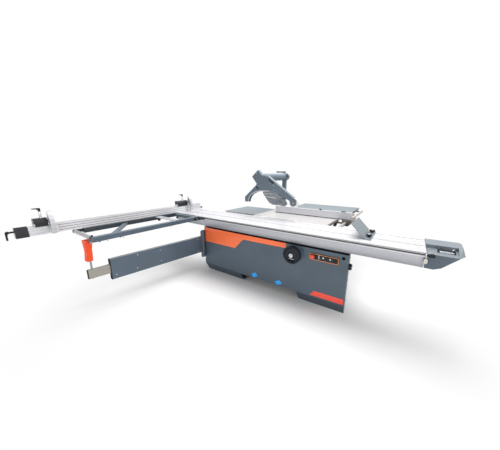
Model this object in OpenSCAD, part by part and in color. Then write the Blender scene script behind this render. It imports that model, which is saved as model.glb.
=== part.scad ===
// Sliding table saw, all sizes in millimetres, +Z up, real size.
// X runs along the sliding table, +X towards the operator's end.
// Y runs across the machine, from the sliding table towards the rip fence.

/* [Cabinet] */
// length of the cabinet along the sliding direction
cab_len = 2100; // [1900:10:2200]
// depth of the cabinet under the tables
cab_depth = 740; // [700:10:800]
// height of the cabinet's top edge above the floor
cab_top = 706; // [690:1:720]
// height of the fold where the lower band turns inward
cab_fold = 108; // [90:2:130]
// how far the lower band turns inward at the floor
fold_in = 40; // [20:2:60]
// thickness of the cabinet's sheet
sheet = 5; // [3:0.5:6]
// length of the left foot at the floor
foot_l_len = 692; // [600:10:760]
// length of the right foot at the floor
foot_r_len = 525; // [450:10:600]
// diameter of the dust outlet on the back
dust_d = 120; // [100:10:150]

/* [Sliding beam] */
// height of the packers between cabinet and beam
foot_h = 21; // [15:1:30]
// height of the fixed beam
beam_h = 105; // [95:1:120]
// width of the fixed beam across the machine
beam_w = 245; // [225:5:255]
// free height between beam and carriage
track_gap = 6; // [4:1:10]
// diameter of the two steel track rods
track_d = 14; // [12:1:16]
// running clearance round a track rod in the carriage
track_clear = 0.35; // [0.3:0.05:0.6]

/* [Carriage] */
// length of the sliding carriage
car_len = 3280; // [3000:10:3400]
// width of the sliding carriage
car_w = 510; // [480:5:540]
// height of the sliding carriage
car_h = 42; // [38:1:50]
// how far the carriage reaches past the cabinet at the operator's end
car_over = 583; // [400:1:700]
// how far the carriage stands out in front of the cabinet's face
car_front = 102; // [80:2:120]
// length of the cap on the carriage's end
cap_len = 265; // [240:1:320]
// gap between the carriage and the cast table
table_gap = 8; // [5:1:12]

/* [Tables] */
// length of the cast table
table_len = 1117; // [1000:10:1200]
// width of the cast table
table_w = 744; // [700:5:800]
// height of the cast table's rim
table_rim = 40; // [32:1:50]
// distance from the cabinet's operator end to the cast table
table_in = 370; // [300:10:420]
// length of the rear extension table
rear_len = 622; // [500:10:700]
// width of the rear extension table
rear_w = 652; // [560:10:700]
// width of the right extension table
right_w = 1060; // [800:10:1200]
// height of the sheet extension tables' edge
ext_edge = 30; // [24:1:36]

/* [Saw unit] */
// diameter of the main blade
blade_d = 315; // [250:5:315]
// thickness of the main blade
blade_t = 3.2; // [2.8:0.2:4]
// teeth on the main blade
blade_teeth = 36; // [24:4:48]
// diameter of the scoring blade
score_d = 120; // [100:5:125]
// diameter of the saw arbor
arbor_d = 30; // [25:1:32]
// diameter of the motor's body
motor_d = 190; // [160:5:200]
// running clearance of the trunnion pins in their slots, on the radius
trunnion_clear = 0.1; // [0.05:0.05:0.4]

/* [Outrigger] */
// width of the outrigger frame along the carriage
out_w = 570; // [500:10:620]
// how far the outrigger's tubes reach from the carriage's edge
out_len = 1425; // [1300:5:1500]
// width of the outrigger's tubes
tube_w = 60; // [50:2:70]
// height of the outrigger's tubes
tube_h = 50; // [40:2:60]
// diameter of the end roller
roller_d = 42; // [36:1:50]
// diameter of the roller's axle
axle_d = 12; // [10:1:16]
// running clearance of the roller on its axle, on the radius
axle_clear = 0.08; // [0.05:0.01:0.1]

/* [Cross-cut fence] */
// width of the fence profile
fence_w = 60; // [54:1:70]
// height of the fence profile
fence_h = 100; // [92:2:110]
// length of the fence profile
fence_len = 2069; // [1900:10:2150]
// wall of the fence profile
fence_wall = 7; // [6:0.5:9]
// visible length of the telescopic extension
ext_out = 224; // [150:2:300]
// sliding clearance of the extension in the profile, each side
ext_clear = 0.6; // [0.4:0.1:1]
// mouth of the carriage's T-slots, in which the fence's pivot pin turns
slot_w = 12; // [12:0.5:16]
// running clearance round the pivot pin, on the radius
pivot_clear = 0.08; // [0.05:0.01:0.1]

/* [Swing arm] */
// height of the arm's box
arm_h = 244; // [220:4:260]
// thickness of the arm's box
arm_t = 50; // [44:2:60]
// radius from the hinge to the end of the arm's box
arm_r = 1297; // [1250:5:1320]
// height of the telescopic tube
tele_h = 100; // [80:5:120]
// thickness of the telescopic tube
tele_t = 36; // [30:2:38]
// sliding clearance of the telescopic tube, each side
tele_clear = 0.6; // [0.4:0.1:1]
// how far the telescopic tube reaches past the rod
tele_past = 39.3; // [25:0.1:60]
// diameter of the hinge pin
hinge_d = 30; // [24:1:36]
// running clearance of the hinge pin, on the radius
hinge_clear = 0.08; // [0.05:0.01:0.1]
// width of the orange post cover at its top
cover_w = 86; // [76:2:110]
// width of the orange post cover at its waist
cover_waist = 60; // [46:2:70]

/* [Controls] */
// diameter of the handwheel
wheel_d = 208; // [190:2:240]
// depth of the handwheel's dished body
wheel_t = 50; // [36:2:56]
// length of the control panel
panel_len = 318; // [280:1:350]
// height of the control panel
panel_h = 70; // [66:1:84]
// diameter of the stop button's mushroom
estop_d = 48; // [40:1:54]
// travel of the push buttons
press = 4; // [3:0.5:6]

/* [Rip fence] */
// diameter of the rip fence's rail
rail_d = 44; // [36:1:50]
// length of the rip fence profile
rip_len = 1150; // [1000:10:1250]
// height of the rip fence profile
rip_h = 100; // [90:2:120]
// thickness of the rip fence profile
rip_t = 50; // [40:1:56]
// running clearance of the carrier on its rail, on the radius
rail_clear = 0.1; // [0.08:0.01:0.1]

/* [Guard] */
// outside width of the guard hood
hood_w = 60; // [56:2:72]
// thickness of the hood's plates
hood_plate = 4; // [3:0.5:6]
// diameter of the guard's arm tube
arm_tube_d = 120; // [100:5:130]
// size of the guard's square post
post_w = 60; // [50:2:70]
// diameter of the guard's wheel
guide_d = 126; // [110:2:136]

/* [Shoe] */
// length of the shoe's flap
flap_len = 186; // [150:2:200]
// angle of the raised flap
flap_angle = 46; // [30:1:60]
// diameter of the star knobs
star_d = 52; // [40:1:60]

/* [Hidden] */
$fn = 48;

// heights that stack up from the floor
beam_z0 = cab_top + foot_h;
beam_z1 = beam_z0 + beam_h;
car_z0 = beam_z1 + track_gap;
top = car_z0 + car_h;
// carriage and beam in plan
car_x1 = car_over;
car_x0 = car_x1 - car_len;
car_y0 = -car_front;
car_y1 = car_y0 + car_w;
beam_y0 = car_y0 + 37;
beam_y1 = beam_y0 + beam_w;
cap_x1 = car_x1 + cap_len;
capo = car_x1 - 10;
lock_x = capo + 40;
lock_z = top - 17;
// T-slots in the carriage's top, and the bore every clamping stud runs in
tee_ya = car_y0 + 210;
tee_yb = car_y0 + 429;
stud_clear = 0.08;
// track rods in plan
rod_ya = beam_y0 + 32;
rod_yb = beam_y1 - 32;
rod_z = beam_z1 + track_gap / 2;
// cast table
tab_x1 = -table_in;
tab_x0 = tab_x1 - table_len;
tab_y0 = car_y1 + table_gap;
tab_y1 = tab_y0 + table_w;
tab_z0 = top - table_rim;
// slot for the blades in the cast table
slot_x0 = tab_x0 + 157;
slot_x1 = tab_x1 - 420;
slot_y1 = tab_y0 + 60;
insert_t = 8;
// blade line and the arbor's place
blade_y = tab_y0 + 17;
blade_x = -1100;
arbor_z = top - blade_d / 2 - 12;
score_x = blade_x + blade_d / 2 + score_d / 2 + 14;
score_z = top - score_d / 2 - 12;
// end plates of the tilting unit
tilt_xa = slot_x0 - 60;
tilt_xb = slot_x1 + 40;
trun_r = 300;
trun_pin = 12;
trun_a = 35;
tilt_max = 45;
lift_max = 90;
rod_xa = blade_x - 160;
rod_xb = blade_x + 180;
guide_y = blade_y + 97;
guide_r = 14;
// outrigger
out_x1 = -2070;
out_x0 = out_x1 - out_w;
out_y1 = car_y0 - 22;
out_y0 = car_y0 - out_len;
tube_z0 = top - tube_h;
roll_y = out_y0 + 18;
roll_z = top - roller_d / 2 + 0.5;
roll_x0 = out_x0 + 16;
roll_x1 = out_x1 - tube_w - 24;
// cross-cut fence
fen_x1 = -2620;
fen_x0 = fen_x1 - fence_w;
fen_y1 = car_y1 - 3;
fen_y0 = fen_y1 - fence_len;
fen_z0 = top + 3;
fen_z1 = fen_z0 + fence_h;
fen_xm = (fen_x0 + fen_x1) / 2;
piv_y = tee_yb;
ext_y0 = fen_y0 - ext_out;
blk_y0 = ext_y0 - 98;
lev_y0 = blk_y0 - 64;
ext_w = fence_w - 2 * fence_wall - 2 * ext_clear;
ext_h = fence_h - 2 * fence_wall - 2 * ext_clear;
ext_z0 = fen_z0 + fence_wall + ext_clear;
slv_z1 = fen_z1 - 6;
stop_ya = fen_y0 - 174;
stop_yb = fen_y1 - 485;
lev_z = fen_z0 + 64;
// swing arm: hinge pin and the post under the outrigger
hin_x = 15 - cab_len;
hin_y = -60;
post_x = out_x1 - 175;
post_y = out_y0;
arm_a = atan((hin_x - post_x) / (hin_y - post_y));
tele_r = norm([hin_x - post_x, hin_y - post_y]) + tele_past;
arm_z0 = 321;
arm_z1 = arm_z0 + arm_h;
tele_z0 = arm_z0 + 79;
tele_z1 = tele_z0 + tele_h;
ear = 36;
ear_r = 33;
brk_z0 = 232;
brk_z1 = 640;
cover_z0 = 600;
// controls on the front face
whl_x = -600;
whl_z = 584;
whl_y = -62;
pan_x0 = -410;
pan_z0 = 569;
stop_x = pan_x0 + 41;
start_x = pan_x0 + 157;
off_x = pan_x0 + 231;
btn_z = pan_z0 + 0.6 * panel_h;
estop_z = pan_z0 + 0.52 * panel_h;
knob_y = 15;
knob_z = 567;
// rip fence
rail_x = -255;
rail_z = top - 40;
rail_y0 = tab_y0 + 14;
rail_y1 = tab_y1 + 920;
right_y1 = tab_y1 + right_w;
right_x0 = tab_x0 + 120;
right_x1 = tab_x1 + 45;
rip_y0 = 880;
rip_z0 = top + 3;
rip_x1 = -190;
rip_x0 = rip_x1 - rip_len;
// guard
hood_y0 = blade_y - hood_w / 2;
hood_y1 = hood_y0 + hood_w;
arm_x = -1475;
arm_z = 1437;
pst_y = 1425;
neck_y = 640;
swing_x = -1438;
swing_z = 1440;
wheel_gx = -824;
wheel_gz = 1117;
// shoe on the carriage
shoe_x = 100;
shoe_y0 = car_y0 + 110;
shoe_z = top + 0.2;
// the frame's origin is the middle of the outside box
mid_x = (cap_x1 + car_x0) / 2;
mid_y = (lev_y0 + right_y1) / 2;

// Shared shapes

// box between two corners
module bx(x0, x1, y0, y1, z0, z1) {
    translate([x0, y0, z0])
        cube([x1 - x0, y1 - y0, z1 - z0]);
}

// round bar along X
module bar_x(x0, x1, y, z, r) {
    translate([x0, y, z])
        rotate([0, 90, 0])
            cylinder(h = x1 - x0, r = r);
}

// round bar along Y
module bar_y(x, y0, y1, z, r) {
    translate([x, y0, z])
        rotate([-90, 0, 0])
            cylinder(h = y1 - y0, r = r);
}

// round bar along Z
module bar_z(x, y, z0, z1, r) {
    translate([x, y, z0])
        cylinder(h = z1 - z0, r = r);
}

// outline given as (y, z), run along X
module along_x(x0, len) {
    translate([x0, 0, 0])
        rotate([90, 0, 90])
            linear_extrude(len)
                children();
}

// outline given as (x, z), run along Y
module along_y(y0, len) {
    translate([0, y0 + len, 0])
        rotate([90, 0, 0])
            linear_extrude(len)
                children();
}

// outline of a lobed knob
module star2d(r) {
    circle(r = r * 0.78);
    for (a = [0:60:300])
        rotate(a)
            translate([r * 0.72, 0])
                circle(r = r * 0.28);
}

// lobed knob with a collar and a stud below it, standing on z = 0
module star(r, h, stud_r, stud) {
    translate([0, 0, stud])
        linear_extrude(h)
            star2d(r);
    translate([0, 0, stud - 3])
        cylinder(h = 3, r = r * 0.5);
    cylinder(h = stud, r = stud_r);
}

// rectangle with round corners
module round2d(x0, x1, z0, z1, r) {
    translate([x0 + r, z0])
        square([x1 - x0 - 2 * r, z1 - z0]);
    translate([x0, z0 + r])
        square([x1 - x0, z1 - z0 - 2 * r]);
    for (x = [x0 + r, x1 - r])
        for (z = [z0 + r, z1 - r])
            translate([x, z])
                circle(r = r);
}

// T-slot cut from above, as (y, z): mouth at height z
module tslot(y, z) {
    translate([y - slot_w / 2, z - 6])
        square([slot_w, 7]);
    translate([y - slot_w / 2 - 5, z - 14])
        square([slot_w + 10, 8]);
}

// puts a child into the arm's own direction: X along the arm from the hinge
module in_arm() {
    translate([hin_x, hin_y, 0])
        rotate([0, 0, -90 - arm_a])
            children();
}

// moves everything from the working corner to the frame's origin
module at_frame() {
    translate([-mid_x, -mid_y, 0])
        children();
}

// Cabinet

// folded sheet front with its lower band bent inward, notched between the feet
module cabinet_front() {
    color("#5a6774")
    at_frame()
    difference() {
        union() {
            along_x(-cab_len, cab_len)
                polygon([
                    [0, cab_top],
                    [0, cab_fold],
                    [fold_in, 4],
                    [fold_in + sheet, 4],
                    [sheet, cab_fold],
                    [sheet, cab_top - sheet],
                    [beam_y1, cab_top - sheet],
                    [beam_y1, cab_top]
                ]);
            for (x = [-cab_len, -sheet])
                along_x(x, sheet)
                    polygon([
                        [0, cab_top],
                        [0, cab_fold],
                        [fold_in, 4],
                        [60, 4],
                        [60, cab_top]
                    ]);
        }
        // arch between the two feet
        along_y(-1, 80)
            polygon([
                [-cab_len + 40 + foot_l_len + 110, cab_fold],
                [-cab_len + 40 + foot_l_len, -1],
                [-foot_r_len, -1],
                [-foot_r_len - 20, cab_fold]
            ]);
        // slanted corner at the far end of the left foot
        along_y(-1, 80)
            polygon([
                [-cab_len - 1, cab_fold],
                [-cab_len - 1, -1],
                [-cab_len + 40, -1],
                [-cab_len, cab_fold]
            ]);
        // bearing of the handwheel's shaft
        bar_y(whl_x, -1, sheet + 1, whl_z, 10 + stud_clear);
        // hole of the end knob's stud
        bar_x(-sheet - 1, 1, knob_y, knob_z, 6 + stud_clear);
    }
}

// two ends and the back, with a louvred field and the dust outlet
module cabinet_walls() {
    color("#5a6774")
    at_frame()
    difference() {
        union() {
            translate([0, 0, cab_fold])
                linear_extrude(cab_top - sheet - cab_fold)
                    polygon([
                        [0, 60],
                        [-130, 170],
                        [-130, cab_depth],
                        [-cab_len, cab_depth],
                        [-cab_len, 60],
                        [-cab_len + sheet, 60],
                        [-cab_len + sheet, cab_depth - sheet],
                        [-130 - sheet, cab_depth - sheet],
                        [-130 - sheet, 167],
                        [-sheet, 62],
                        [-sheet, 60]
                    ]);
            bar_y(-1700, cab_depth, cab_depth + 80, 330, dust_d / 2);
        }
        bar_y(-1700, cab_depth - sheet - 1, cab_depth + 81, 330, dust_d / 2 - 3);
        for (i = [0:9])
            bx(-700 + i * 40, -680 + i * 40, cab_depth - sheet - 1, cab_depth + 1, 250, 480);
    }
}

// floor pan on two box feet
module base_frame() {
    color("#37424d")
    at_frame() {
        bx(-cab_len + sheet, -135, sheet + 60, cab_depth - sheet, 100, cab_fold);
        difference() {
            union() {
                bx(-cab_len + 60, -cab_len + 40 + foot_l_len, 60, cab_depth - 40, 0, 100);
                bx(-foot_r_len, -135, 60, cab_depth - 40, 0, 100);
            }
            // each foot is a folded box with two webs
            for (i = [0:2])
                bx(-cab_len, 0, 66 + i * 215, 66 + i * 215 + 198, 6, 100);
        }
    }
}

// cross beams, posts, beam packers and the struts of the sheet tables
module supports() {
    color("#4a5661")
    at_frame() {
        for (x = [tilt_xa - 90, tilt_xb + 50]) {
            bx(x, x + 60, sheet + 0.2, cab_depth - sheet - 0.2, cab_top - sheet - 60,
                cab_top - sheet);
            for (y = [blade_y + 70, cab_depth - 80])
                bx(x, x + 60, y, y + 60, cab_top - sheet, tab_z0);
        }
        for (x = [-cab_len + 80, -1300, -820, -200])
            bx(x, x + 120, beam_y0 + 90, beam_y1 - 10, cab_top, beam_z0);
        // the far edge of the rear table stands on the back wall
        bx(-cab_len + 60, -cab_len + 100, cab_depth, cab_depth + 35, 600, top - ext_edge);
        // struts under the right table
        for (x = [-1240, -560])
            along_x(x, 40)
                polygon([
                    [cab_depth, 330],
                    [tab_y1 + 700, top - ext_edge],
                    [tab_y1 + 760, top - ext_edge],
                    [cab_depth, 280]
                ]);
    }
}

// Tables from here on

// ribbed cast table, open over the blades
module main_table() {
    color("#a9a8a4")
    at_frame()
    difference() {
        bx(tab_x0, tab_x1, tab_y0, tab_y1, tab_z0, top);
        // pockets between the ribs
        for (i = [0:4])
            for (j = [0:2]) {
                px = tab_x0 + 14 + i * (table_len - 18) / 5;
                py = slot_y1 + 14 + j * (tab_y1 - slot_y1 - 18) / 3;
                bx(px, px + (table_len - 18) / 5 - 10, py,
                    py + (tab_y1 - slot_y1 - 18) / 3 - 10, tab_z0 - 1, top - 12);
            }
        bx(tab_x0 + 14, slot_x0 - 34, tab_y0 + 12, slot_y1, tab_z0 - 1, top - 12);
        bx(slot_x1 + 34, tab_x1 - 14, tab_y0 + 12, slot_y1, tab_z0 - 1, top - 12);
        // opening for the blades and the recess that the insert lies in
        bx(slot_x0, slot_x1, tab_y0 - 1, slot_y1, tab_z0 - 1, top + 1);
        bx(slot_x0 - 20, slot_x1 + 20, tab_y0 - 1, slot_y1 + 6, top - insert_t, top + 1);
    }
}

// aluminium insert with the slot of both blades
module table_insert() {
    color("#c9ccd0")
    at_frame()
    difference() {
        bx(slot_x0 - 19.5, slot_x1 + 19.5, tab_y0, slot_y1 + 5.5, top - insert_t, top);
        bx(blade_x - blade_d / 2 - 12, score_x + score_d / 2 + 12, blade_y - 12,
            blade_y + 8, top - insert_t - 1, top + 1);
        for (x = [slot_x0 - 10, slot_x1 + 10])
            for (y = [tab_y0 + 14, slot_y1 - 10])
                bar_z(x, y, top - insert_t - 1, top + 1, 3.3);
    }
}

// folded sheet tray with stiffening ribs
module tray(x0, x1, y0, y1, ribs) {
    difference() {
        bx(x0, x1, y0, y1, top - ext_edge, top);
        bx(x0 + 3, x1 - 3, y0 + 3, y1 - 3, top - ext_edge - 1, top - 3);
    }
    for (i = [1:ribs])
        translate([0, (y1 - y0) * i / (ribs + 1), 0])
            bx(x0 + 3, x1 - 3, y0 - 30, y0 + 30, top - ext_edge, top - 3);
}

module rear_table() {
    color("#aeb6c0")
    at_frame()
        tray(tab_x0 - rear_len, tab_x0, tab_y0 + 92, tab_y0 + 92 + rear_w, 2);
}

module right_table() {
    color("#87969e")
    at_frame() {
        tray(right_x0, right_x1, tab_y1, right_y1, 3);
        // rib over the heads of the struts
        bx(right_x0 + 3, right_x1 - 3, tab_y1 + 690, tab_y1 + 770, top - ext_edge, top - 3);
    }
}

// Sliding beam and carriage from here on

// hollow beam with a bulged front and two steel track rods
module beam() {
    color("#a9a7ba")
    at_frame()
    along_x(car_x0, car_len)
    difference() {
        union() {
            intersection() {
                translate([beam_y0 + 155, beam_z1 - 12])
                    circle(r = 155.5, $fn = 96);
                translate([beam_y0 - 1, beam_z0])
                    square([beam_w + 1, beam_h]);
            }
            for (y = [rod_ya, rod_yb])
                translate([y, rod_z])
                    circle(r = track_d / 2);
        }
        translate([beam_y0 + 50, beam_z0 + 8])
            square([55, beam_h - 24]);
        translate([beam_y0 + 113, beam_z0 + 8])
            square([55, beam_h - 24]);
        translate([beam_y0 + 176, beam_z0 + 8])
            square([50, beam_h - 24]);
        // T-slot on the beam's underside
        translate([beam_y0 + 66, beam_z0 - 1])
            square([12, 10]);
    }
}

// anodised profile: T-slots, grip grooves, hollow chambers and track grooves
module carriage() {
    color("#d9dde2")
    at_frame()
        along_x(car_x0, car_len)
        difference() {
            translate([car_y0, car_z0])
                square([car_w, car_h]);
            for (y = [rod_ya, rod_yb])
                translate([y, rod_z])
                    circle(r = track_d / 2 + track_clear);
            tslot(tee_ya, top);
            tslot(tee_yb, top);
            // grip grooves
            for (i = [0:16])
                if (i != 7 && i != 14)
                    translate([car_y0 + 14 + i * 28 - 2.5, top - 2])
                        square([5, 3]);
            // T-slot in the front edge
            translate([car_y0 - 1, top - 24])
                square([8, 10]);
            translate([car_y0 + 7, top - 28])
                square([8, 18]);
            // step under the front edge
            translate([car_y0 - 1, car_z0 - 1])
                square([25, 6]);
            // chambers
            for (i = [0:7])
                translate([car_y0 + 96 + i * 50, car_z0 + 11])
                    square([i == 7 ? 20 : 42, 12]);
            // chamfer that the tilted blade passes
            polygon([
                [car_y1 + 1, top - 9],
                [car_y1 + 1, car_z0 - 1],
                [car_y1 - 38, car_z0 - 1]
            ]);
        }
}

// sheet hood on the carriage's end; it passes over the beam
module end_cap() {
    color("#8f9ba6")
    at_frame()
    difference() {
        intersection() {
            along_x(car_x1, cap_len)
                polygon([
                    [car_y0, top - 131],
                    [car_y0, top - 7],
                    [car_y0 + 295, top - 31],
                    [car_y0 + 300, top],
                    [car_y1, top],
                    [car_y1, top - 131]
                ]);
            linear_extrude(top + 10)
                polygon([
                    [car_x1, car_y0],
                    [cap_x1 - 65, car_y0],
                    [cap_x1 - 14, car_y0 + 137],
                    [cap_x1 - 8, car_y0 + 312],
                    [cap_x1, car_y0 + 469],
                    [cap_x1 - 16, car_y1],
                    [car_x1, car_y1]
                ]);
        }
        intersection() {
            along_x(car_x1 - 1, cap_len + 1)
                polygon([
                    [car_y0 + 4, top - 140],
                    [car_y0 + 4, top - 11],
                    [car_y0 + 299, top - 35],
                    [car_y0 + 304, top - 4],
                    [car_y1 - 4, top - 4],
                    [car_y1 - 4, top - 140]
                ]);
            linear_extrude(top + 10)
                polygon([
                    [car_x1 - 1, car_y0 + 1],
                    [cap_x1 - 69, car_y0 + 1],
                    [cap_x1 - 18, car_y0 + 138],
                    [cap_x1 - 12, car_y0 + 312],
                    [cap_x1 - 4, car_y0 + 468],
                    [cap_x1 - 20, car_y1],
                    [car_x1 - 1, car_y1]
                ]);
        }
        // slanted lower corner
        along_y(car_y0 - 1, car_w + 2)
            polygon([
                [capo + 70, top - 180],
                [capo + 70, top - 131],
                [capo + 116, top - 110],
                [capo + 210, top - 12],
                [capo + 210, top - 180]
            ]);
        translate([capo + 209.9, car_y0, top - 12])
            rotate([-atan(24 / 295), 0, 0])
                translate([0, -5, -200])
                    cube([90, 298, 200]);
        bx(car_x1 - 1, cap_x1 + 1, car_y0 + 260, car_y1 + 1, top - 140, top - 40);
        // bore of the lock's stud
        bar_y(lock_x, car_y0 - 1, car_y0 + 6, lock_z, 5 + stud_clear);
    }
}

// bow handle on the cap's lower deck
module cap_handle() {
    color("#23272c")
    at_frame()
    difference() {
        along_y(car_y0 + 158, 18)
            round2d(capo + 88, capo + 203, top - 40, top + 4, 10);
        along_y(car_y0 + 150, 30)
            round2d(capo + 103, capo + 188, top - 60, top - 6, 7);
        along_x(capo + 80, 160)
            polygon([
                [car_y0, top - 6.9],
                [car_y0 + 295, top - 30.9],
                [car_y0 + 295, top - 90],
                [car_y0, top - 90]
            ]);
    }
}

// clamping lever that holds the carriage
module carriage_lock() {
    color("#23272c")
    at_frame() {
        along_y(car_y0 - 28, 24)
            round2d(lock_x - 26, lock_x + 26, lock_z - 12, lock_z + 12, 10);
        bar_y(lock_x, car_y0 - 5, car_y0 + 3, lock_z, 5);
        // strap that bends down to the pull ring
        along_y(car_y0 - 4, 3.6)
            polygon([
                [lock_x + 12, lock_z - 10],
                [lock_x + 12, lock_z + 10],
                [lock_x - 32, lock_z + 12],
                [lock_x - 38, lock_z + 4],
                [lock_x - 34, lock_z - 40],
                [lock_x - 20, lock_z - 40],
                [lock_x - 18, lock_z - 10]
            ]);
        difference() {
            bar_y(lock_x - 27, car_y0 - 11, car_y0 - 1, lock_z - 50, 17);
            bar_y(lock_x - 27, car_y0 - 12, car_y0, lock_z - 50, 8);
        }
    }
}

// Outrigger from here on

module rect_tube_y(x0, x1, y0, y1) {
    difference() {
        bx(x0, x1, y0, y1, tube_z0, top);
        bx(x0 + 3, x1 - 3, y0 + 3, y1 + 1, tube_z0 + 3, top - 3);
    }
}

// two long tubes, an inner member, the brace, roller brackets and axle
module outrigger_frame() {
    color("#56636f")
    at_frame() {
        rect_tube_y(out_x1 - tube_w, out_x1, out_y0, out_y1);
        rect_tube_y(out_x0, out_x0 + tube_w, out_y0 + 100, out_y1);
        bx(out_x0 + tube_w, out_x1 - tube_w, out_y1 - 50, out_y1, tube_z0 + 4, top - 6);
        // diagonal brace
        translate([0, 0, tube_z0 + 8])
            linear_extrude(28)
                polygon([
                    [out_x1 - tube_w, out_y0 + 177],
                    [out_x1 - tube_w, out_y0 + 232],
                    [out_x0 + tube_w, out_y0 + 602],
                    [out_x0 + tube_w, out_y0 + 547]
                ]);
        // plate at the far end and the roller's axle across to the near tube
        along_x(out_x0 + 1, 8)
            round2d(roll_y - 16, out_y0 + 110, roll_z - 20, roll_z + 16, 6);
        bar_x(out_x0 + 3, out_x1 - tube_w + 1, roll_y, roll_z, axle_d / 2);
    }
}

// pale slotted rail across the frame
module cross_rail() {
    color("#cdd2d6")
    at_frame()
    difference() {
        bx(out_x0 + tube_w, out_x1 - tube_w, out_y1 - 390, out_y1 - 306, top - 14, top - 2);
        bx(out_x0 + tube_w + 60, out_x1 - tube_w - 60, out_y1 - 354, out_y1 - 342,
            top - 20, top);
        for (x = [out_x0 + tube_w + 24, out_x1 - tube_w - 24])
            bar_z(x, out_y1 - 348, top - 20, top, 5);
    }
}

// free-running roller at the outer end
module end_roller() {
    color("#c3c6cc")
    at_frame()
    difference() {
        bar_x(roll_x0, roll_x1, roll_y, roll_z, roller_d / 2);
        bar_x(roll_x0 - 1, roll_x1 + 1, roll_y, roll_z, axle_d / 2 + axle_clear);
        for (x = [roll_x0 + 4, roll_x1 - 8])
            difference() {
                bar_x(x, x + 4, roll_y, roll_z, roller_d / 2 + 1);
                bar_x(x - 1, x + 5, roll_y, roll_z, roller_d / 2 - 1.5);
            }
    }
}

// cast block that grips the carriage's front T-slot
module carriage_clamp() {
    color("#5f6b77")
    at_frame() {
        difference() {
            along_y(out_y1, car_y0 - out_y1)
                polygon([
                    [out_x1 - 110, top - 40],
                    [out_x1 - 110, top - 14],
                    [out_x1 - 90, top - 3],
                    [out_x1 + 60, top - 3],
                    [out_x1 + 90, top - 14],
                    [out_x1 + 90, top - 40]
                ]);
            for (x = [out_x1 - 85, out_x1 - 20])
                bar_y(x, out_y1 - 1, out_y1 + 8, top - 20, 6);
        }
        // key in the T-slot
        bx(out_x1 - 100, out_x1 + 80, car_y0, car_y0 + 6, top - 23, top - 15);
        // nose that carries the knob
        difference() {
            bx(out_x1 + 10, out_x1 + 70, out_y1 - 16, out_y1, top - 36, top - 8);
            bar_y(out_x1 + 40, out_y1 - 17, out_y1 - 3, top - 22, 5 + stud_clear);
        }
    }
}

module clamp_knob() {
    color("#1f2225")
    at_frame()
    translate([out_x1 + 40, out_y1 - 4, top - 22])
        rotate([90, 0, 0])
            star(21, 20, 5, 20);
}

// knobs that clamp the cross rail and the roller's end
module frame_knobs() {
    color("#1f2225")
    at_frame() {
        translate([out_x0 + tube_w + 24, out_y1 - 348, top - 14])
            rotate([180, 0, 0])
                star(19, 18, 5, 30);
        translate([out_x0 + tube_w + 24, out_y1 - 25, tube_z0 + 4])
            rotate([180, 0, 0])
                star(19, 18, 5, 10);
        translate([out_x1 - tube_w + 12, out_y0 + 12, top + 0.1])
            star(10, 12, 4, 5);
        for (y = [out_y0 + 67, out_y0 + 277])
            translate([out_x1 - 30, y, tube_z0 - 12])
                cylinder(h = 12, r = 9);
    }
}

// plate under the frame's outer end and the steel rod that runs down from it
module support_head() {
    color("#8b949c")
    at_frame() {
        // plate under the roller, welded to the near tube's inner side
        bx(post_x - 20, out_x1 - tube_w, out_y0 - 8, out_y0 + 12, tube_z0 - 22, tube_z0 - 8);
        bx(out_x1 - tube_w - 12, out_x1 - tube_w, out_y0 - 8, out_y0 + 12, tube_z0 - 9,
            tube_z0 + 30);
        bx(out_x1 - tube_w - 12, out_x1 - tube_w + 1, out_y0 - 8, out_y0, tube_z0 - 9,
            tube_z0 + 30);
        bar_z(post_x, post_y, tele_z1 + 6, tube_z0 - 12, 10);
    }
}

// waisted cover over the rod, hung round the plate
module post_cover() {
    color("#ff6a3c")
    at_frame()
    difference() {
        intersection() {
            along_y(post_y - 60, 120)
                waist(post_x, cover_w / 2, cover_waist / 2, cover_w / 2, cover_waist / 2);
            along_x(post_x - 80, 160)
                waist(post_y, cover_w * 0.44, cover_waist * 0.5, cover_w * 0.3,
                    cover_waist * 0.4);
        }
        bar_z(post_x, post_y, cover_z0 - 1, tube_z0, 10.4);
        bx(post_x - 21, post_x + 80, out_y0 - 9, out_y0 + 13, tube_z0 - 23, tube_z0);
    }
}

// hourglass outline: half widths on the low side and on the high side of c
module waist(c, end_lo, mid_lo, end_hi, mid_hi) {
    z1 = tube_z0 - 3;
    zm = (cover_z0 + z1) / 2;
    polygon([
        [c - end_lo * 0.92, z1],
        [c - end_lo * 0.86, z1 - 44],
        [c - mid_lo, zm + 12],
        [c - mid_lo, zm - 22],
        [c - end_lo, cover_z0],
        [c + end_hi * 0.7, cover_z0],
        [c + mid_hi, zm - 22],
        [c + mid_hi, zm + 12],
        [c + end_hi * 1.1, z1 - 44],
        [c + end_hi * 1.2, z1]
    ]);
}

// Cross-cut fence from here on

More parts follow.
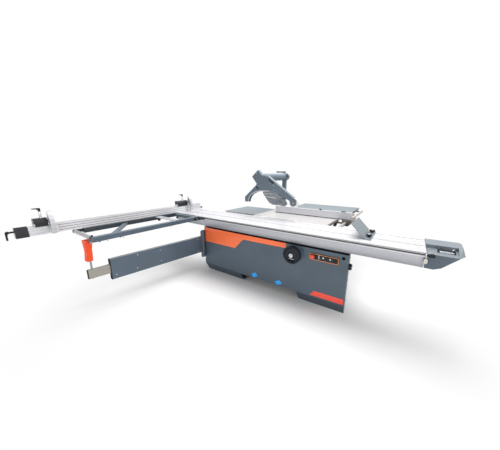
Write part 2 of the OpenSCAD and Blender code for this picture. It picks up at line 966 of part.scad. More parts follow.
// hollow profile with stop grooves, resting pads and the pivot's boss
module fence_profile() {
    color("#c7cbd2")
    at_frame() {
        along_y(fen_y0, fence_len)
        difference() {
            translate([fen_x0, fen_z0])
                square([fence_w, fence_h]);
            translate([fen_x0 + fence_wall, fen_z0 + fence_wall])
                square([fence_w - 2 * fence_wall, fence_h - 2 * fence_wall]);
            for (z = [18, 46, 74])
                translate([fen_x1 - 3, fen_z0 + z])
                    square([4, 8]);
            translate([fen_xm - 7, fen_z1 - 3.5])
                square([14, 5]);
            translate([fen_x0 - 1, fen_z0 + 44])
                square([4, 12]);
        }
        for (y = [out_y0 + 120, out_y0 + 760])
            bx(fen_x1 - 18, fen_x1 - 2, y, y + 60, top + 0.2, fen_z0);
        bar_z(fen_xm, piv_y, top + 0.2, fen_z0, 24);
        // pivot pin in the carriage's rear T-slot
        bar_z(fen_xm, piv_y, top - 12, fen_z0, slot_w / 2 - pivot_clear);
        // collar at the outer end
        difference() {
            bx(fen_x0 - 4, fen_x1 + 4, fen_y0, fen_y0 + 16, fen_z0 - 2, fen_z1 + 4);
            bx(fen_x0 + 1, fen_x1 - 1, fen_y0 - 1, fen_y0 + 17, fen_z0 + 1, fen_z1 - 1);
        }
    }
}

// telescopic inner profile
module fence_extension() {
    color("#d5d9de")
    at_frame() {
        difference() {
            bx(fen_xm - ext_w / 2, fen_xm + ext_w / 2, ext_y0 + 6, ext_y0 + 1000, ext_z0,
                ext_z0 + ext_h);
            bx(fen_xm - ext_w / 2 + 3, fen_xm + ext_w / 2 - 3, ext_y0 + 5, ext_y0 + 1001,
                ext_z0 + 3, ext_z0 + ext_h - 3);
        }
        // sleeve with the fence's own outline, outside the profile
        difference() {
            bx(fen_x0 + 1, fen_x1 - 0.5, ext_y0, fen_y0 - 4, fen_z0 + 1, slv_z1);
            bx(fen_xm - ext_w / 2 + 3, fen_xm + ext_w / 2 - 3, ext_y0 - 1, fen_y0 - 3,
                ext_z0 + 3, slv_z1 - 5);
            for (z = [18, 46, 74])
                bx(fen_x1 - 3, fen_x1, ext_y0 - 1, fen_y0, fen_z0 + z, fen_z0 + z + 8);
        }
    }
}

// moulded end block of the extension
module extension_block() {
    color("#1d2023")
    at_frame()
    difference() {
        along_y(blk_y0, ext_y0 - blk_y0)
            polygon([
                [fen_x0 - 2, fen_z0 - 2],
                [fen_x0 - 2, fen_z1 - 6],
                [fen_x0 + 8, fen_z1 + 2],
                [fen_x1 - 30, fen_z1 + 2],
                [fen_x1 - 8, fen_z1 - 18],
                [fen_x1 + 6, fen_z0 + 48],
                [fen_x1 + 6, fen_z0 - 2]
            ]);
        for (i = [0:3])
            bx(fen_x0 - 3, fen_x0 + 24, blk_y0 + 16 + i * 20, blk_y0 + 22 + i * 20,
                fen_z1 - 1, fen_z1 + 3);
        bx(fen_x1 + 3, fen_x1 + 7, blk_y0 + 8, ext_y0 - 6, fen_z0 + 18, fen_z0 + 24);
        bar_y(fen_xm, blk_y0 - 1, blk_y0 + 16, lev_z, 7 + stud_clear);
    }
}

// bent clamping lever: it turns about its stud, which runs along Y
module extension_lever() {
    color("#1d2023")
    at_frame()
    translate([fen_xm, blk_y0, lev_z]) {
        bar_y(0, -1, 14, 0, 7);
        bar_y(0, -40, -0.4, 0, 9);
        translate([0, lev_y0 - blk_y0, 0])
            along_x(-8, 16)
                polygon([
                    [0, 0],
                    [6, 10],
                    [24, 14],
                    [30, -8],
                    [18, -14],
                    [14, -36],
                    [14, -74],
                    [0, -74]
                ]);
    }
}

// clamping lever with a stud along Z
module top_lever(stud) {
    cylinder(h = stud, r = 7);
    translate([0, 0, stud])
        cylinder(h = 28, r1 = 8, r2 = 11);
    translate([0, 0, stud + 28])
        cylinder(h = 22, r1 = 11, r2 = 9);
    along_x(-8, 16)
        polygon([
            [9, stud + 36],
            [9, stud + 48],
            [2, stud + 51],
            [-56, stud + 51],
            [-57, stud + 43],
            [-24, stud + 40],
            [-12, stud + 30]
        ]);
}

// stop body that slides on a profile of top height z
module stop_block(y0, y1, z) {
    difference() {
        along_y(y0, y1 - y0)
            polygon([
                [fen_x0 - 4, z],
                [fen_x0 - 4, z + 70],
                [fen_x0 + 2, z + 76],
                [fen_x1 - 16, z + 76],
                [fen_x1 + 4, z + 46],
                [fen_x1 + 4, z - 10],
                [fen_x1 + 0.6, z - 10],
                [fen_x1 + 0.6, z]
            ]);
        bx(fen_x1 + 1, fen_x1 + 5, y0 + 12, y1 - 12, z + 14, z + 20);
        bar_y(fen_xm, y1 - 13, y1 + 1, z + 34, 8 + stud_clear);
        bar_z(fen_xm, y0 + (y1 - y0) * 0.62, z + 40, z + 80, 7 + stud_clear);
    }
}

// curved swing-up blade of a stop, with its pivot pin
module stop_blade(y, z) {
    along_y(y + 0.4, 40)
    difference() {
        polygon([
            [fen_xm + 44, z + 146],
            [fen_xm + 58, z + 144],
            [fen_xm + 84, z + 108],
            [fen_xm + 104, z + 62],
            [fen_xm + 116, z + 18],
            [fen_xm + 118, z - 30],
            [fen_xm + 111, z - 85],
            [fen_xm + 83, z - 85],
            [fen_xm + 86, z - 40],
            [fen_xm + 80, z - 4],
            [fen_xm + 62, z + 18],
            [fen_xm - 14, z + 18],
            [fen_xm - 14, z + 50],
            [fen_xm + 28, z + 56],
            [fen_xm + 36, z + 96]
        ]);
        // hollow of the extruded section
        translate([fen_xm + 72, z + 44])
            circle(r = 15);
        translate([fen_xm + 60, z + 88])
            circle(r = 9);
    }
    bar_y(fen_xm, y - 12, y + 0.6, z + 34, 8);
}

module stop_a_block() {
    color("#26292d")
    at_frame()
        stop_block(stop_ya, fen_y0 - 60, slv_z1 + 0.2);
}

module stop_a_blade() {
    color("#d0d4da")
    at_frame()
        stop_blade(fen_y0 - 60, slv_z1 + 0.2);
}

module stop_a_lever() {
    color("#1d2023")
    at_frame()
    translate([fen_xm, stop_ya + (fen_y0 - 60 - stop_ya) * 0.62, slv_z1 + 42])
        top_lever(86);
}

module stop_b_block() {
    color("#26292d")
    at_frame()
        stop_block(stop_yb, fen_y1 - 280, fen_z1 + 0.2);
}

module stop_b_blade() {
    color("#d0d4da")
    at_frame()
        stop_blade(fen_y1 - 280, fen_z1 + 0.2);
}

module stop_b_lever() {
    color("#1d2023")
    at_frame()
    translate([fen_xm, stop_yb + (fen_y1 - 280 - stop_yb) * 0.62, fen_z1 + 42])
        top_lever(86);
}

// Swing arm from here on

// bracket with two ears and the hinge pin
module arm_bracket() {
    color("#56636f")
    at_frame() {
        // plate on the cabinet's far end
        bx(-cab_len - 12, -cab_len, -20, 120, brk_z0, brk_z1);
        for (z = [brk_z0, brk_z1 - ear])
            translate([0, 0, z])
                linear_extrude(ear) {
                    translate([hin_x, hin_y])
                        circle(r = ear_r);
                    polygon([
                        [-cab_len - 12, 60],
                        [-cab_len - 40, 60],
                        [-cab_len - 40, -20],
                        [hin_x - ear_r, hin_y],
                        [hin_x + 23, hin_y + 23],
                        [-cab_len, 0],
                        [-cab_len - 0.5, 20],
                        [-cab_len - 12, 40]
                    ]);
                }
        bar_z(hin_x, hin_y, brk_z0 + ear - 1, brk_z1 - ear + 1, hinge_d / 2);
    }
}

// box beam with the hinge barrel; the tube slides in its end
module arm_box() {
    color("#56636f")
    at_frame()
    in_arm()
    difference() {
        union() {
            bx(30, arm_r, -arm_t / 2, arm_t / 2, arm_z0, arm_z1);
            bar_z(0, 0, brk_z0 + ear + 0.5, brk_z1 - ear - 0.5, ear_r - 1);
        }
        bar_z(0, 0, brk_z0, brk_z1, hinge_d / 2 + hinge_clear);
        bx(60, arm_r - 5, -arm_t / 2 + 4, arm_t / 2 - 4, arm_z0 + 4, arm_z1 - 4);
        bx(arm_r - 6, arm_r + 1, -tele_t / 2 - tele_clear, tele_t / 2 + tele_clear,
            tele_z0 - tele_clear, tele_z1 + tele_clear);
    }
}

// telescopic tube with its end cover
module arm_tube() {
    color("#9b978a")
    at_frame()
    in_arm()
    difference() {
        bx(440, tele_r, -tele_t / 2, tele_t / 2, tele_z0, tele_z1);
        bx(439, tele_r - 8, -tele_t / 2 + 3, tele_t / 2 - 3, tele_z0 + 3, tele_z1 - 3);
    }
}

// Controls from here on

// panel body with a raised rim and bores for the buttons
module control_panel() {
    color("#2b3138")
    at_frame() {
        difference() {
            along_y(-14, 14)
                round2d(pan_x0, pan_x0 + panel_len, pan_z0, pan_z0 + panel_h, 14);
            along_y(-15, 3)
                round2d(pan_x0 + 5, pan_x0 + panel_len - 5, pan_z0 + 5,
                    pan_z0 + panel_h - 5, 10);
            bar_y(stop_x, -15, 1, estop_z, 8 + stud_clear);
            for (x = [start_x, off_x])
                bar_y(x, -15, 1, btn_z, 8 + stud_clear);
        }
        // plug of the unused hole beside the panel
        bar_y(pan_x0 + panel_len + 41, -4, 0, pan_z0 + panel_h + 9, 14);
    }
}

// push piece on a stem, pressed along +Y
module push(x, z, r, y0, y1) {
    bar_y(x, y0, y1, z, r);
    bar_y(x, y1, -press - 2, z, 8);
}

module stop_button() {
    color("#e23b22")
    at_frame()
    difference() {
        union() {
            push(stop_x, estop_z, estop_d / 2, -38, -26);
            bar_y(stop_x, -43, -38, estop_z, estop_d / 2 - 5);
        }
        for (a = [0:60:300])
            translate([stop_x, -36, estop_z])
                rotate([0, a, 0])
                    bx(estop_d / 2 - 2, estop_d / 2 + 1, -3, 13, -2, 2);
    }
}

module start_button() {
    color("#1b1d20")
    at_frame()
        push(start_x, btn_z, 15, -23, -17);
}

module off_button() {
    color("#1b1d20")
    at_frame()
        push(off_x, btn_z, 15, -23, -17);
}

// dished handwheel turned in one piece, with a finger slot, hub and shaft
module handwheel() {
    color("#1c1f22")
    at_frame()
    translate([whl_x, whl_y, whl_z])
    rotate([90, 0, 0])
    difference() {
        union() {
            rotate_extrude($fn = 96)
                polygon([
                    [0, wheel_t / 2 - 30],
                    [0, wheel_t / 2 + 4],
                    [26, wheel_t / 2 + 4],
                    [29, wheel_t / 2],
                    [29, wheel_t / 2 - 8],
                    [40, wheel_t / 2 - 14],
                    [wheel_d / 2 - 24, wheel_t / 2 - 14],
                    [wheel_d / 2 - 17, wheel_t / 2 - 4],
                    [wheel_d / 2 - 11, wheel_t / 2],
                    [wheel_d / 2 - 5, wheel_t / 2 - 2],
                    [wheel_d / 2, wheel_t / 2 - 9],
                    [wheel_d / 2 - 1, 6 - wheel_t / 2],
                    [wheel_d / 2 - 9, -wheel_t / 2],
                    [wheel_d / 2 - 16, 6 - wheel_t / 2],
                    [wheel_d / 2 - 20, -2],
                    [40, -4]
                ]);
            translate([0, 0, whl_y - 24])
                cylinder(h = -whl_y + 20, r = 10);
        }
        // finger slot
        intersection() {
            difference() {
                cylinder(h = wheel_t, r = 72);
                translate([0, 0, -1])
                    cylinder(h = wheel_t + 2, r = 55);
            }
            linear_extrude(wheel_t)
                polygon([
                    [0, 0],
                    [-60, -100],
                    [60, -100]
                ]);
        }
    }
}

// lobed knob on the cabinet's end flange
module end_knob() {
    color("#1f2225")
    at_frame()
    translate([-sheet + 1, knob_y, knob_z])
        rotate([0, 90, 0])
            star(37, 14, 6, 8);
}

// Saw unit from here on

// two hung plates with arc slots about the blade line
module trunnions() {
    color("#4f5a64")
    at_frame()
    for (x = [tilt_xa - 14, tilt_xb + 2])
        along_x(x, 12)
        difference() {
            polygon([
                [blade_y + 10, tab_z0],
                [blade_y + 240, tab_z0],
                [blade_y + 240, top - 335],
                [blade_y - 90, top - 335],
                [blade_y - 90, top - 220],
                [blade_y + 10, top - 150]
            ]);
            arc_slot(trun_r, trun_pin + trunnion_clear);
        }
}

// slot as wide as the pin, along the pin's path
module arc_slot(r, h) {
    intersection() {
        difference() {
            translate([blade_y, top])
                circle(r = r + h, $fn = 96);
            translate([blade_y, top])
                circle(r = r - h, $fn = 96);
        }
        polygon([
            [blade_y, top],
            [blade_y + 900 * sin(trun_a), top - 900 * cos(trun_a)],
            [blade_y, top - 1100],
            [blade_y + 900 * sin(trun_a - tilt_max), top - 900 * cos(trun_a - tilt_max)]
        ]);
    }
    for (a = [trun_a, trun_a - tilt_max])
        translate([blade_y + r * sin(a), top - r * cos(a)])
            circle(r = h);
}

// tilting frame: end plates with pins, two guide rods and the scoring arbor
module tilt_frame() {
    color("#66717b")
    at_frame() {
        for (x = [tilt_xa, tilt_xb - 10])
            along_x(x, 10)
                polygon([
                    [guide_y - 30, top - 42],
                    [guide_y + 42, top - 42],
                    [blade_y + 210, top - 200],
                    [blade_y + 210, top - 292],
                    [guide_y - 30, top - 292]
                ]);
        for (z = [top - 52, top - 292])
            bx(tilt_xa + 10, tilt_xb - 10, guide_y - 30, guide_y + 42, z, z + 10);
        for (x = [rod_xa, rod_xb])
            bar_z(x, guide_y, top - 283, top - 51, guide_r);
        py = blade_y + trun_r * sin(trun_a);
        pz = top - trun_r * cos(trun_a);
        bar_x(tilt_xa - 13, tilt_xa + 1, py, pz, trun_pin);
        bar_x(tilt_xb - 1, tilt_xb + 13, py, pz, trun_pin);
        // scoring arbor
        bar_y(score_x, blade_y + 6, guide_y - 30, score_z, 19);
        bar_y(score_x, blade_y - 8, blade_y + 6, score_z, 9);
        bx(score_x - 16, score_x + 16, guide_y - 40, guide_y - 20, score_z, top - 52);
    }
}

// lifting block with the arbor's housing and the hanging motor
module arbor_block() {
    color("#7c868f")
    at_frame()
    difference() {
        union() {
            bx(rod_xa - 28, rod_xb + 24, guide_y - 28, guide_y + 28, arbor_z - 102, arbor_z + 18);
            bar_y(blade_x, blade_y + 4, guide_y - 32, arbor_z, 30);
            bar_y(blade_x, blade_y - 12, blade_y + 5, arbor_z, arbor_d / 2);
            // plate that carries the motor, in front of the lower cross plate
            bx(blade_x - 145, blade_x + 45, guide_y - 44, guide_y - 32, arbor_z - 380,
                arbor_z + 10);
            bx(blade_x - 145, blade_x + 45, guide_y - 33, guide_y - 27, arbor_z - 100,
                arbor_z + 10);
            bar_y(blade_x - 50, guide_y - 33, cab_depth - 50, arbor_z - 312, motor_d / 2);
            bar_y(blade_x - 50, blade_y + 24, guide_y - 43, arbor_z - 312, 32);
        }
        for (x = [rod_xa, rod_xb])
            bar_z(x, guide_y, arbor_z - 110, arbor_z + 30, guide_r + 0.1);
        // cooling ribs of the motor
        for (a = [0:20:340])
            translate([blade_x - 50, 0, arbor_z - 312])
                rotate([0, a, 0])
                    bx(motor_d / 2 - 8, motor_d / 2 + 2, guide_y + 10, cab_depth - 70, -4, 4);
    }
}

// toothed disc with gullets, expansion slots and a flange
module saw_disc(r, teeth, bore, t) {
    difference() {
        union() {
            circle(r = r - 9, $fn = 96);
            for (i = [0:teeth - 1])
                rotate(i * 360 / teeth)
                    polygon([
                        [r - 14, -5],
                        [r - 4, -1.5],
                        [r, -1],
                        [r - 1.2, 3.4],
                        [r - 5, 5.5],
                        [r - 14, 8]
                    ]);
        }
        circle(r = bore);
        if (r > 100)
            for (a = [20:90:290])
                rotate(a) {
                    translate([r - 34, -0.8])
                        square([40, 1.6]);
                    translate([r - 34, 0])
                        circle(r = 3);
                }
    }
}

module main_blade() {
    color("#b9bec3")
    at_frame()
    translate([blade_x, blade_y, arbor_z])
        rotate([90, 0, 0]) {
            translate([0, 0, -blade_t / 2])
                linear_extrude(blade_t)
                    saw_disc(blade_d / 2, blade_teeth, arbor_d / 2 + 0.06, blade_t);
            difference() {
                translate([0, 0, blade_t / 2])
                    cylinder(h = 6, r = 30);
                translate([0, 0, -1])
                    cylinder(h = 20, r = arbor_d / 2 + 0.06);
            }
        }
}

module scoring_blade() {
    color("#b9bec3")
    at_frame()
    translate([score_x, blade_y, score_z])
        rotate([90, 0, 0])
            translate([0, 0, -blade_t / 2])
                linear_extrude(blade_t)
                    saw_disc(score_d / 2, 20, 9.06, blade_t);
}

// Rip fence from here on

module rip_rail() {
    color("#c8ccd0")
    at_frame()
    difference() {
        bar_y(rail_x, rail_y0, rail_y1, rail_z, rail_d / 2);
        bar_y(rail_x, rail_y0 - 1, rail_y0 + 20, rail_z, 6);
    }
}

// saddles between the tables and the rail, and the dark scale bar
module rail_brackets() {
    color("#3c454e")
    at_frame() {
        difference() {
            union() {
                for (y = [tab_y0 + 60, tab_y0 + 420])
                    bx(tab_x1, rail_x, y, y + 40, rail_z - 9, rail_z + 9);
                for (y = [tab_y1 + 60, tab_y1 + 420, tab_y1 + 840])
                    bx(right_x1, rail_x, y, y + 40, rail_z - 9, rail_z + 9);
            }
            bar_y(rail_x, rail_y0 - 1, rail_y1 + 1, rail_z, rail_d / 2);
        }
        bx(right_x1, right_x1 + 10, tab_y1 + 60, tab_y1 + 880, rail_z + 9, rail_z + 32);
        bx(tab_x1, tab_x1 + 14, tab_y0 + 20, tab_y0 + 460, rail_z + 9, rail_z + 32);
    }
}

// casting that rides the rail and holds the fence's profile
module rip_carrier() {
    color("#4b4f5c")
    at_frame()
    difference() {
        union() {
            along_y(838, 290)
                polygon([
                    [rail_x - 40, rail_z - 34],
                    [rail_x - 40, rail_z + 36],
                    [rail_x - 56, rail_z + 42.7],
                    [rail_x + 90, rail_z + 42.7],
                    [rail_x + 44, rail_z - 34]
                ]);
            // arm behind the profile with the clamp's seat
            bx(-664, rail_x + 40, rip_y0 + rip_t + 2, rip_y0 + rip_t + 34, rip_z0 + 4,
                rip_z0 + 76);
            bx(rail_x - 30, rail_x + 40, rip_y0 + rip_t + 2, rip_y0 + rip_t + 30, rail_z + 30,
                rip_z0 + 5);
        }
        bar_y(rail_x, 830, 1140, rail_z, rail_d / 2 + rail_clear);
        // open side so that the saddles pass
        bx(rail_x - 60, rail_x, 830, 1140, rail_z - 12, rail_z + 12);
        bx(rail_x - 60, rail_x - 39, 830, 1140, rail_z - 12, rail_z + 34);
        // lightening pocket in the top
        bx(rail_x + 8, rail_x + 60, 980, 1108, rail_z + 38, rail_z + 50);
        bar_z(-640, rip_y0 + rip_t + 20, rip_z0 + 60, rip_z0 + 80, 6 + stud_clear);
    }
}

// hollow profile with grooves on both faces
module rip_profile() {
    color("#c4c3d2")
    at_frame()
    along_x(rip_x0, rip_len)
    difference() {
        translate([rip_y0, rip_z0])
            square([rip_t, rip_h]);
        translate([rip_y0 + 5, rip_z0 + 5])
            square([rip_t - 10, rip_h / 2 - 8]);
        translate([rip_y0 + 5, rip_z0 + rip_h / 2 + 3])
            square([rip_t - 10, rip_h / 2 - 8]);
        translate([rip_y0 + rip_t - 4, rip_z0 + 40])
            square([5, 12]);
        translate([rip_y0 - 1, rip_z0 + 84])
            square([3, 5]);
        translate([rip_y0 + rip_t / 2 - 5, rip_z0 + rip_h - 3])
            square([10, 4]);
    }
}

module rip_knob() {
    color("#1f2225")
    at_frame()
    translate([-640, rip_y0 + rip_t + 20, rip_z0 + 64])
        star(16, 18, 6, 26);
}

// Hold-down shoe from here on

// base plate with hinge knuckles
module shoe_base() {
    color("#8f999f")
    at_frame() {
        difference() {
            bx(shoe_x + 12, shoe_x + 64, shoe_y0, shoe_y0 + 392, shoe_z, shoe_z + 7);
            bar_y(shoe_x + 60, shoe_y0 - 1, shoe_y0 + 393, shoe_z + 7, 2);
        }
        // clamping bolts with their square nuts in the T-slots
        for (y = [tee_ya, tee_yb]) {
            bar_z(shoe_x + 34, y, top - 10, top + 34, 5);
            bx(shoe_x + 25, shoe_x + 43, y - 9, y + 9, top - 13, top - 7);
        }
        for (y = [shoe_y0, shoe_y0 + 160, shoe_y0 + 320])
            difference() {
                union() {
                    bar_y(shoe_x + 4, y, y + 72, shoe_z + 8, 7.5);
                    bx(shoe_x + 4, shoe_x + 13, y, y + 72, shoe_z + 0.5, shoe_z + 7);
                }
                bar_y(shoe_x + 4, y - 1, y + 73, shoe_z + 8, 4.08);
            }
    }
}

// raised plate with its hinge pin and a turned-down lip
module shoe_flap() {
    color("#87939a")
    at_frame()
    translate([shoe_x + 4, 0, shoe_z + 8]) {
        rotate([0, flap_angle, 0]) {
            difference() {
                bx(-flap_len, -7, shoe_y0, shoe_y0 + 392, -1.5, 2.5);
                for (y = [shoe_y0, shoe_y0 + 160, shoe_y0 + 320])
                    bx(-12, 0, y - 1, y + 73, -2, 3);
            }
            bx(-flap_len, -flap_len + 3, shoe_y0, shoe_y0 + 392, -1.5, 3.5);
            for (y = [shoe_y0 + 76, shoe_y0 + 236])
                difference() {
                    union() {
                        bar_y(0, y, y + 80, 0, 7.5);
                        bx(-8, 0, y, y + 80, -1.5, 2.5);
                    }
                }
        }
        bar_y(0, shoe_y0 + 2, shoe_y0 + 390, 0, 4);
    }
}

// knob with a blind bore that sits on a bolt
module cap_star() {
    difference() {
        union() {
            cylinder(h = 9, r = star_d / 4);
            translate([0, 0, 9])
                linear_extrude(20)
                    star2d(star_d / 2);
        }
        translate([0, 0, -1])
            cylinder(h = 28, r = 5 + stud_clear);
    }
}

module shoe_knob_a() {
    color("#1f2225")
    at_frame()
    translate([shoe_x + 34, tee_ya, shoe_z + 7.3])
        cap_star();
}

module shoe_knob_b() {
    color("#1f2225")
    at_frame()
    translate([shoe_x + 34, tee_yb, shoe_z + 7.3])
        cap_star();
}

// Overhead guard from here on

// square post with the split clamp round the arm tube
module guard_post() {
    color("#5d6a75")
    at_frame()
    difference() {
        union() {
            difference() {
                bx(arm_x - post_w / 2, arm_x + post_w / 2, pst_y - post_w / 2,
                    pst_y + post_w / 2, top - 180, arm_z - arm_tube_d / 2 - 4);
                bx(arm_x - post_w / 2 + 4, arm_x + post_w / 2 - 4, pst_y - post_w / 2 + 4,
                    pst_y + post_w / 2 - 4, top - 181, arm_z - arm_tube_d / 2 - 30);
            }
            bx(arm_x + post_w / 2, right_x0, pst_y - post_w / 2, pst_y + post_w / 2,
                top - ext_edge, top - 4);
            bar_y(arm_x, pst_y - 50, pst_y + 50, arm_z, arm_tube_d / 2 + 8);
        }
        bar_y(arm_x, pst_y - 51, pst_y + 51, arm_z, arm_tube_d / 2 + 0.1);
        // bore of the clamping screw
        bar_z(arm_x, pst_y, arm_z + 50, arm_z + 90, 6 + stud_clear);
    }
}

// suction tube that carries the hood, with its pivot spigot
module guard_tube() {
    color("#8f9aa3")
    at_frame() {
        difference() {
            bar_y(arm_x, neck_y, pst_y + 62, arm_z, arm_tube_d / 2);
            bar_y(arm_x, neck_y + 6, pst_y + 63, arm_z, arm_tube_d / 2 - 4);
        }
        // narrower neck between the tube and the hood
        bar_y(swing_x - 14, hood_y1 + 14, neck_y + 1, swing_z, 36);
        // hose spigot at the outer end
        difference() {
            bar_y(arm_x, pst_y + 62, pst_y + 102, arm_z, 50);
            bar_y(arm_x, pst_y + 61, pst_y + 103, arm_z, 47);
        }
        difference() {
            bar_y(arm_x, pst_y + 58, pst_y + 62, arm_z, arm_tube_d / 2 - 1);
            bar_y(arm_x, pst_y + 57, pst_y + 63, arm_z, 47);
        }
        // pivot pin of the hood
        bar_y(swing_x, hood_y1 - hood_plate, hood_y1 + 15, swing_z, 16);
    }
}

module guard_lever() {
    color("#23272c")
    at_frame()
    translate([arm_x, pst_y, arm_z + arm_tube_d / 2]) {
        bar_z(0, 0, 0.5, 16, 6);
        bar_z(0, 0, 11.4, 34, 14);
        along_y(-8, 16)
            polygon([
                [12, 14],
                [12, 28],
                [0, 32],
                [-150, 26],
                [-160, 42],
                [-172, 38],
                [-166, 16],
                [-150, 12]
            ]);
    }
}

// outline of the hood, as (x, z)
module hood_outer() {
    polygon([
        [-1388, 1546],
        [-1487, 1453],
        [-1404, 1353],
        [-1426, 1325],
        [-1615, 1156],
        [-1611, 1084],
        [-1543, 1086],
        [-1548, 1111],
        [-1522, 1162],
        [-1485, 1200],
        [-1426, 1230],
        [-1354, 1247],
        [-1195, 1256],
        [-1128, 1254],
        [-1096, 1246],
        [-1043, 1219],
        [-928, 1164],
        [-891, 1151],
        [-871, 1127],
        [-867, 1100],
        [-848, 1079],
        [-803, 1083],
        [-787, 1098],
        [-790, 1158],
        [-800, 1168],
        [-1231, 1470],
        [-1317, 1473]
    ]);
}

// hollow inside, open along the lower edge
module hood_inner() {
    polygon([
        [-1388, 1540],
        [-1481, 1453],
        [-1397, 1352],
        [-1421, 1322],
        [-1609, 1154],
        [-1605, 1060],
        [-1549, 1060],
        [-1540, 1110],
        [-1500, 1165],
        [-1426, 1205],
        [-1354, 1222],
        [-1128, 1230],
        [-1043, 1195],
        [-891, 1120],
        [-870, 1060],
        [-806, 1060],
        [-793, 1100],
        [-796, 1156],
        [-803, 1162],
        [-1233, 1464],
        [-1319, 1467]
    ]);
}

module guard_hood() {
    color("#66727e")
    at_frame() {
        difference() {
            along_y(hood_y0, hood_w)
                hood_outer();
            along_y(hood_y0 + hood_plate, hood_w - 2 * hood_plate)
                hood_inner();
            // room for the wheel between the plates
            bar_y(wheel_gx, hood_y0 + hood_plate, hood_y1 - hood_plate, wheel_gz,
                guide_d / 2 + 3);
            // slot of the sliding stop in the front plate
            translate([-1170, 0, 1394])
                rotate([0, 35, 0])
                    bx(-48, 48, hood_y0 - 1, hood_y0 + hood_plate + 1, -11, 11);
            bar_y(swing_x, hood_y1 - hood_plate - 1, hood_y1 + 1, swing_z, 16.1);
        }
        // wheel's axle
        bar_y(wheel_gx, hood_y0 + hood_plate - 1, hood_y1 - hood_plate + 1, wheel_gz, 7);
        // pivot of the inner shield
        bar_y(-1262, hood_y0 + hood_plate - 1, hood_y1 - hood_plate + 1, 1270, 6);
    }
}

// two inner side plates that drop below the hood
module guard_shield() {
    color([0.72, 0.74, 0.82, 0.8])
    at_frame()
    difference() {
        along_y(hood_y0 + hood_plate + 5, hood_w - 2 * hood_plate - 10)
            polygon([
                [-1302, 1290],
                [-1302, 1224],
                [-1253, 1160],
                [-1196, 1097],
                [-1141, 1071],
                [-1010, 1067],
                [-941, 1073],
                [-929, 1097],
                [-947, 1129],
                [-1028, 1197],
                [-1068, 1222],
                [-1120, 1290]
            ]);
        along_y(hood_y0 + hood_plate + 8, hood_w - 2 * hood_plate - 16)
            polygon([
                [-1299, 1291],
                [-1298, 1226],
                [-1250, 1163],
                [-1193, 1099],
                [-1140, 1040],
                [-929, 1040],
                [-932, 1097],
                [-950, 1127],
                [-1030, 1194],
                [-1072, 1222],
                [-1122, 1291]
            ]);
        bar_y(-1262, hood_y0, hood_y1, 1270, 6.08);
    }
}

// free-running wheel at the hood's end
module guard_wheel() {
    color("#e6e7e8")
    at_frame()
    difference() {
        bar_y(wheel_gx, hood_y0 + 12, hood_y1 - 12, wheel_gz, guide_d / 2);
        bar_y(wheel_gx, hood_y0, hood_y1, wheel_gz, 7.08);
        for (y = [hood_y0 + 11, hood_y1 - 20])
            difference() {
                bar_y(wheel_gx, y, y + 9, wheel_gz, guide_d / 2 - 12);
                bar_y(wheel_gx, y - 1, y + 10, wheel_gz, 18);
            }
    }
}

cabinet_front();
cabinet_walls();
base_frame();
supports();
main_table();
table_insert();
rear_table();
right_table();
beam();
arm_bracket();
control_panel();
rip_rail();
rail_brackets();
trunnions();
stop_button();
start_button();
off_button();
handwheel();
end_knob();
tilt_frame();
arbor_block();
main_blade();
scoring_blade();
rip_carrier();
rip_profile();
rip_knob();
carriage();
end_cap();
cap_handle();
carriage_lock();
outrigger_frame();
cross_rail();
end_roller();
carriage_clamp();
clamp_knob();
support_head();
post_cover();
frame_knobs();
fence_profile();
fence_extension();
extension_block();
extension_lever();
stop_a_block();
stop_a_blade();
stop_a_lever();
stop_b_block();
stop_b_blade();
stop_b_lever();
arm_box();
arm_tube();
shoe_base();
shoe_flap();
shoe_knob_a();
shoe_knob_b();
guard_post();
guard_tube();
guard_lever();
guard_hood();
guard_shield();
guard_wheel();
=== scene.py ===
"""Looks of the sliding table saw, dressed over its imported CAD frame."""
import math

import bmesh
import bpy
from mathutils import Matrix, Vector


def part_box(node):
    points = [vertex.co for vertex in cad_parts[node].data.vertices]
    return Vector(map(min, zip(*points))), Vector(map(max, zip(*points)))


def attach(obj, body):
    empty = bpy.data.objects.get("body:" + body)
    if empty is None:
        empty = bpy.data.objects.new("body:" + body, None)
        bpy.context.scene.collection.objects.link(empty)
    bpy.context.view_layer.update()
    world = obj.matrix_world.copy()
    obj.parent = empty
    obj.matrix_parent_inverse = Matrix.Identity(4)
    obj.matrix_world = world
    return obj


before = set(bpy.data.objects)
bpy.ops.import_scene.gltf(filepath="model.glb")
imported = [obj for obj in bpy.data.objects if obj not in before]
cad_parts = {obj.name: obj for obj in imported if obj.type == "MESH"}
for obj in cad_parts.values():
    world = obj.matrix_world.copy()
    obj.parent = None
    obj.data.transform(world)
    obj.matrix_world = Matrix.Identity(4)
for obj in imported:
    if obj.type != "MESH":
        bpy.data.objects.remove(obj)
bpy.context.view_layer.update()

# Workshop corner: x 0 at the cabinet's operator end, y 0 at its front sheet, z 0 on the floor, in mm
MID_X, MID_Y = -924.5, 85.0


def at(x, y, z):
    """A point of the workshop corner, in the frame's metres."""
    return Vector(((x - MID_X) / 1000, (y - MID_Y) / 1000, z / 1000))


# ---------------------------------------------------------------- shader groups


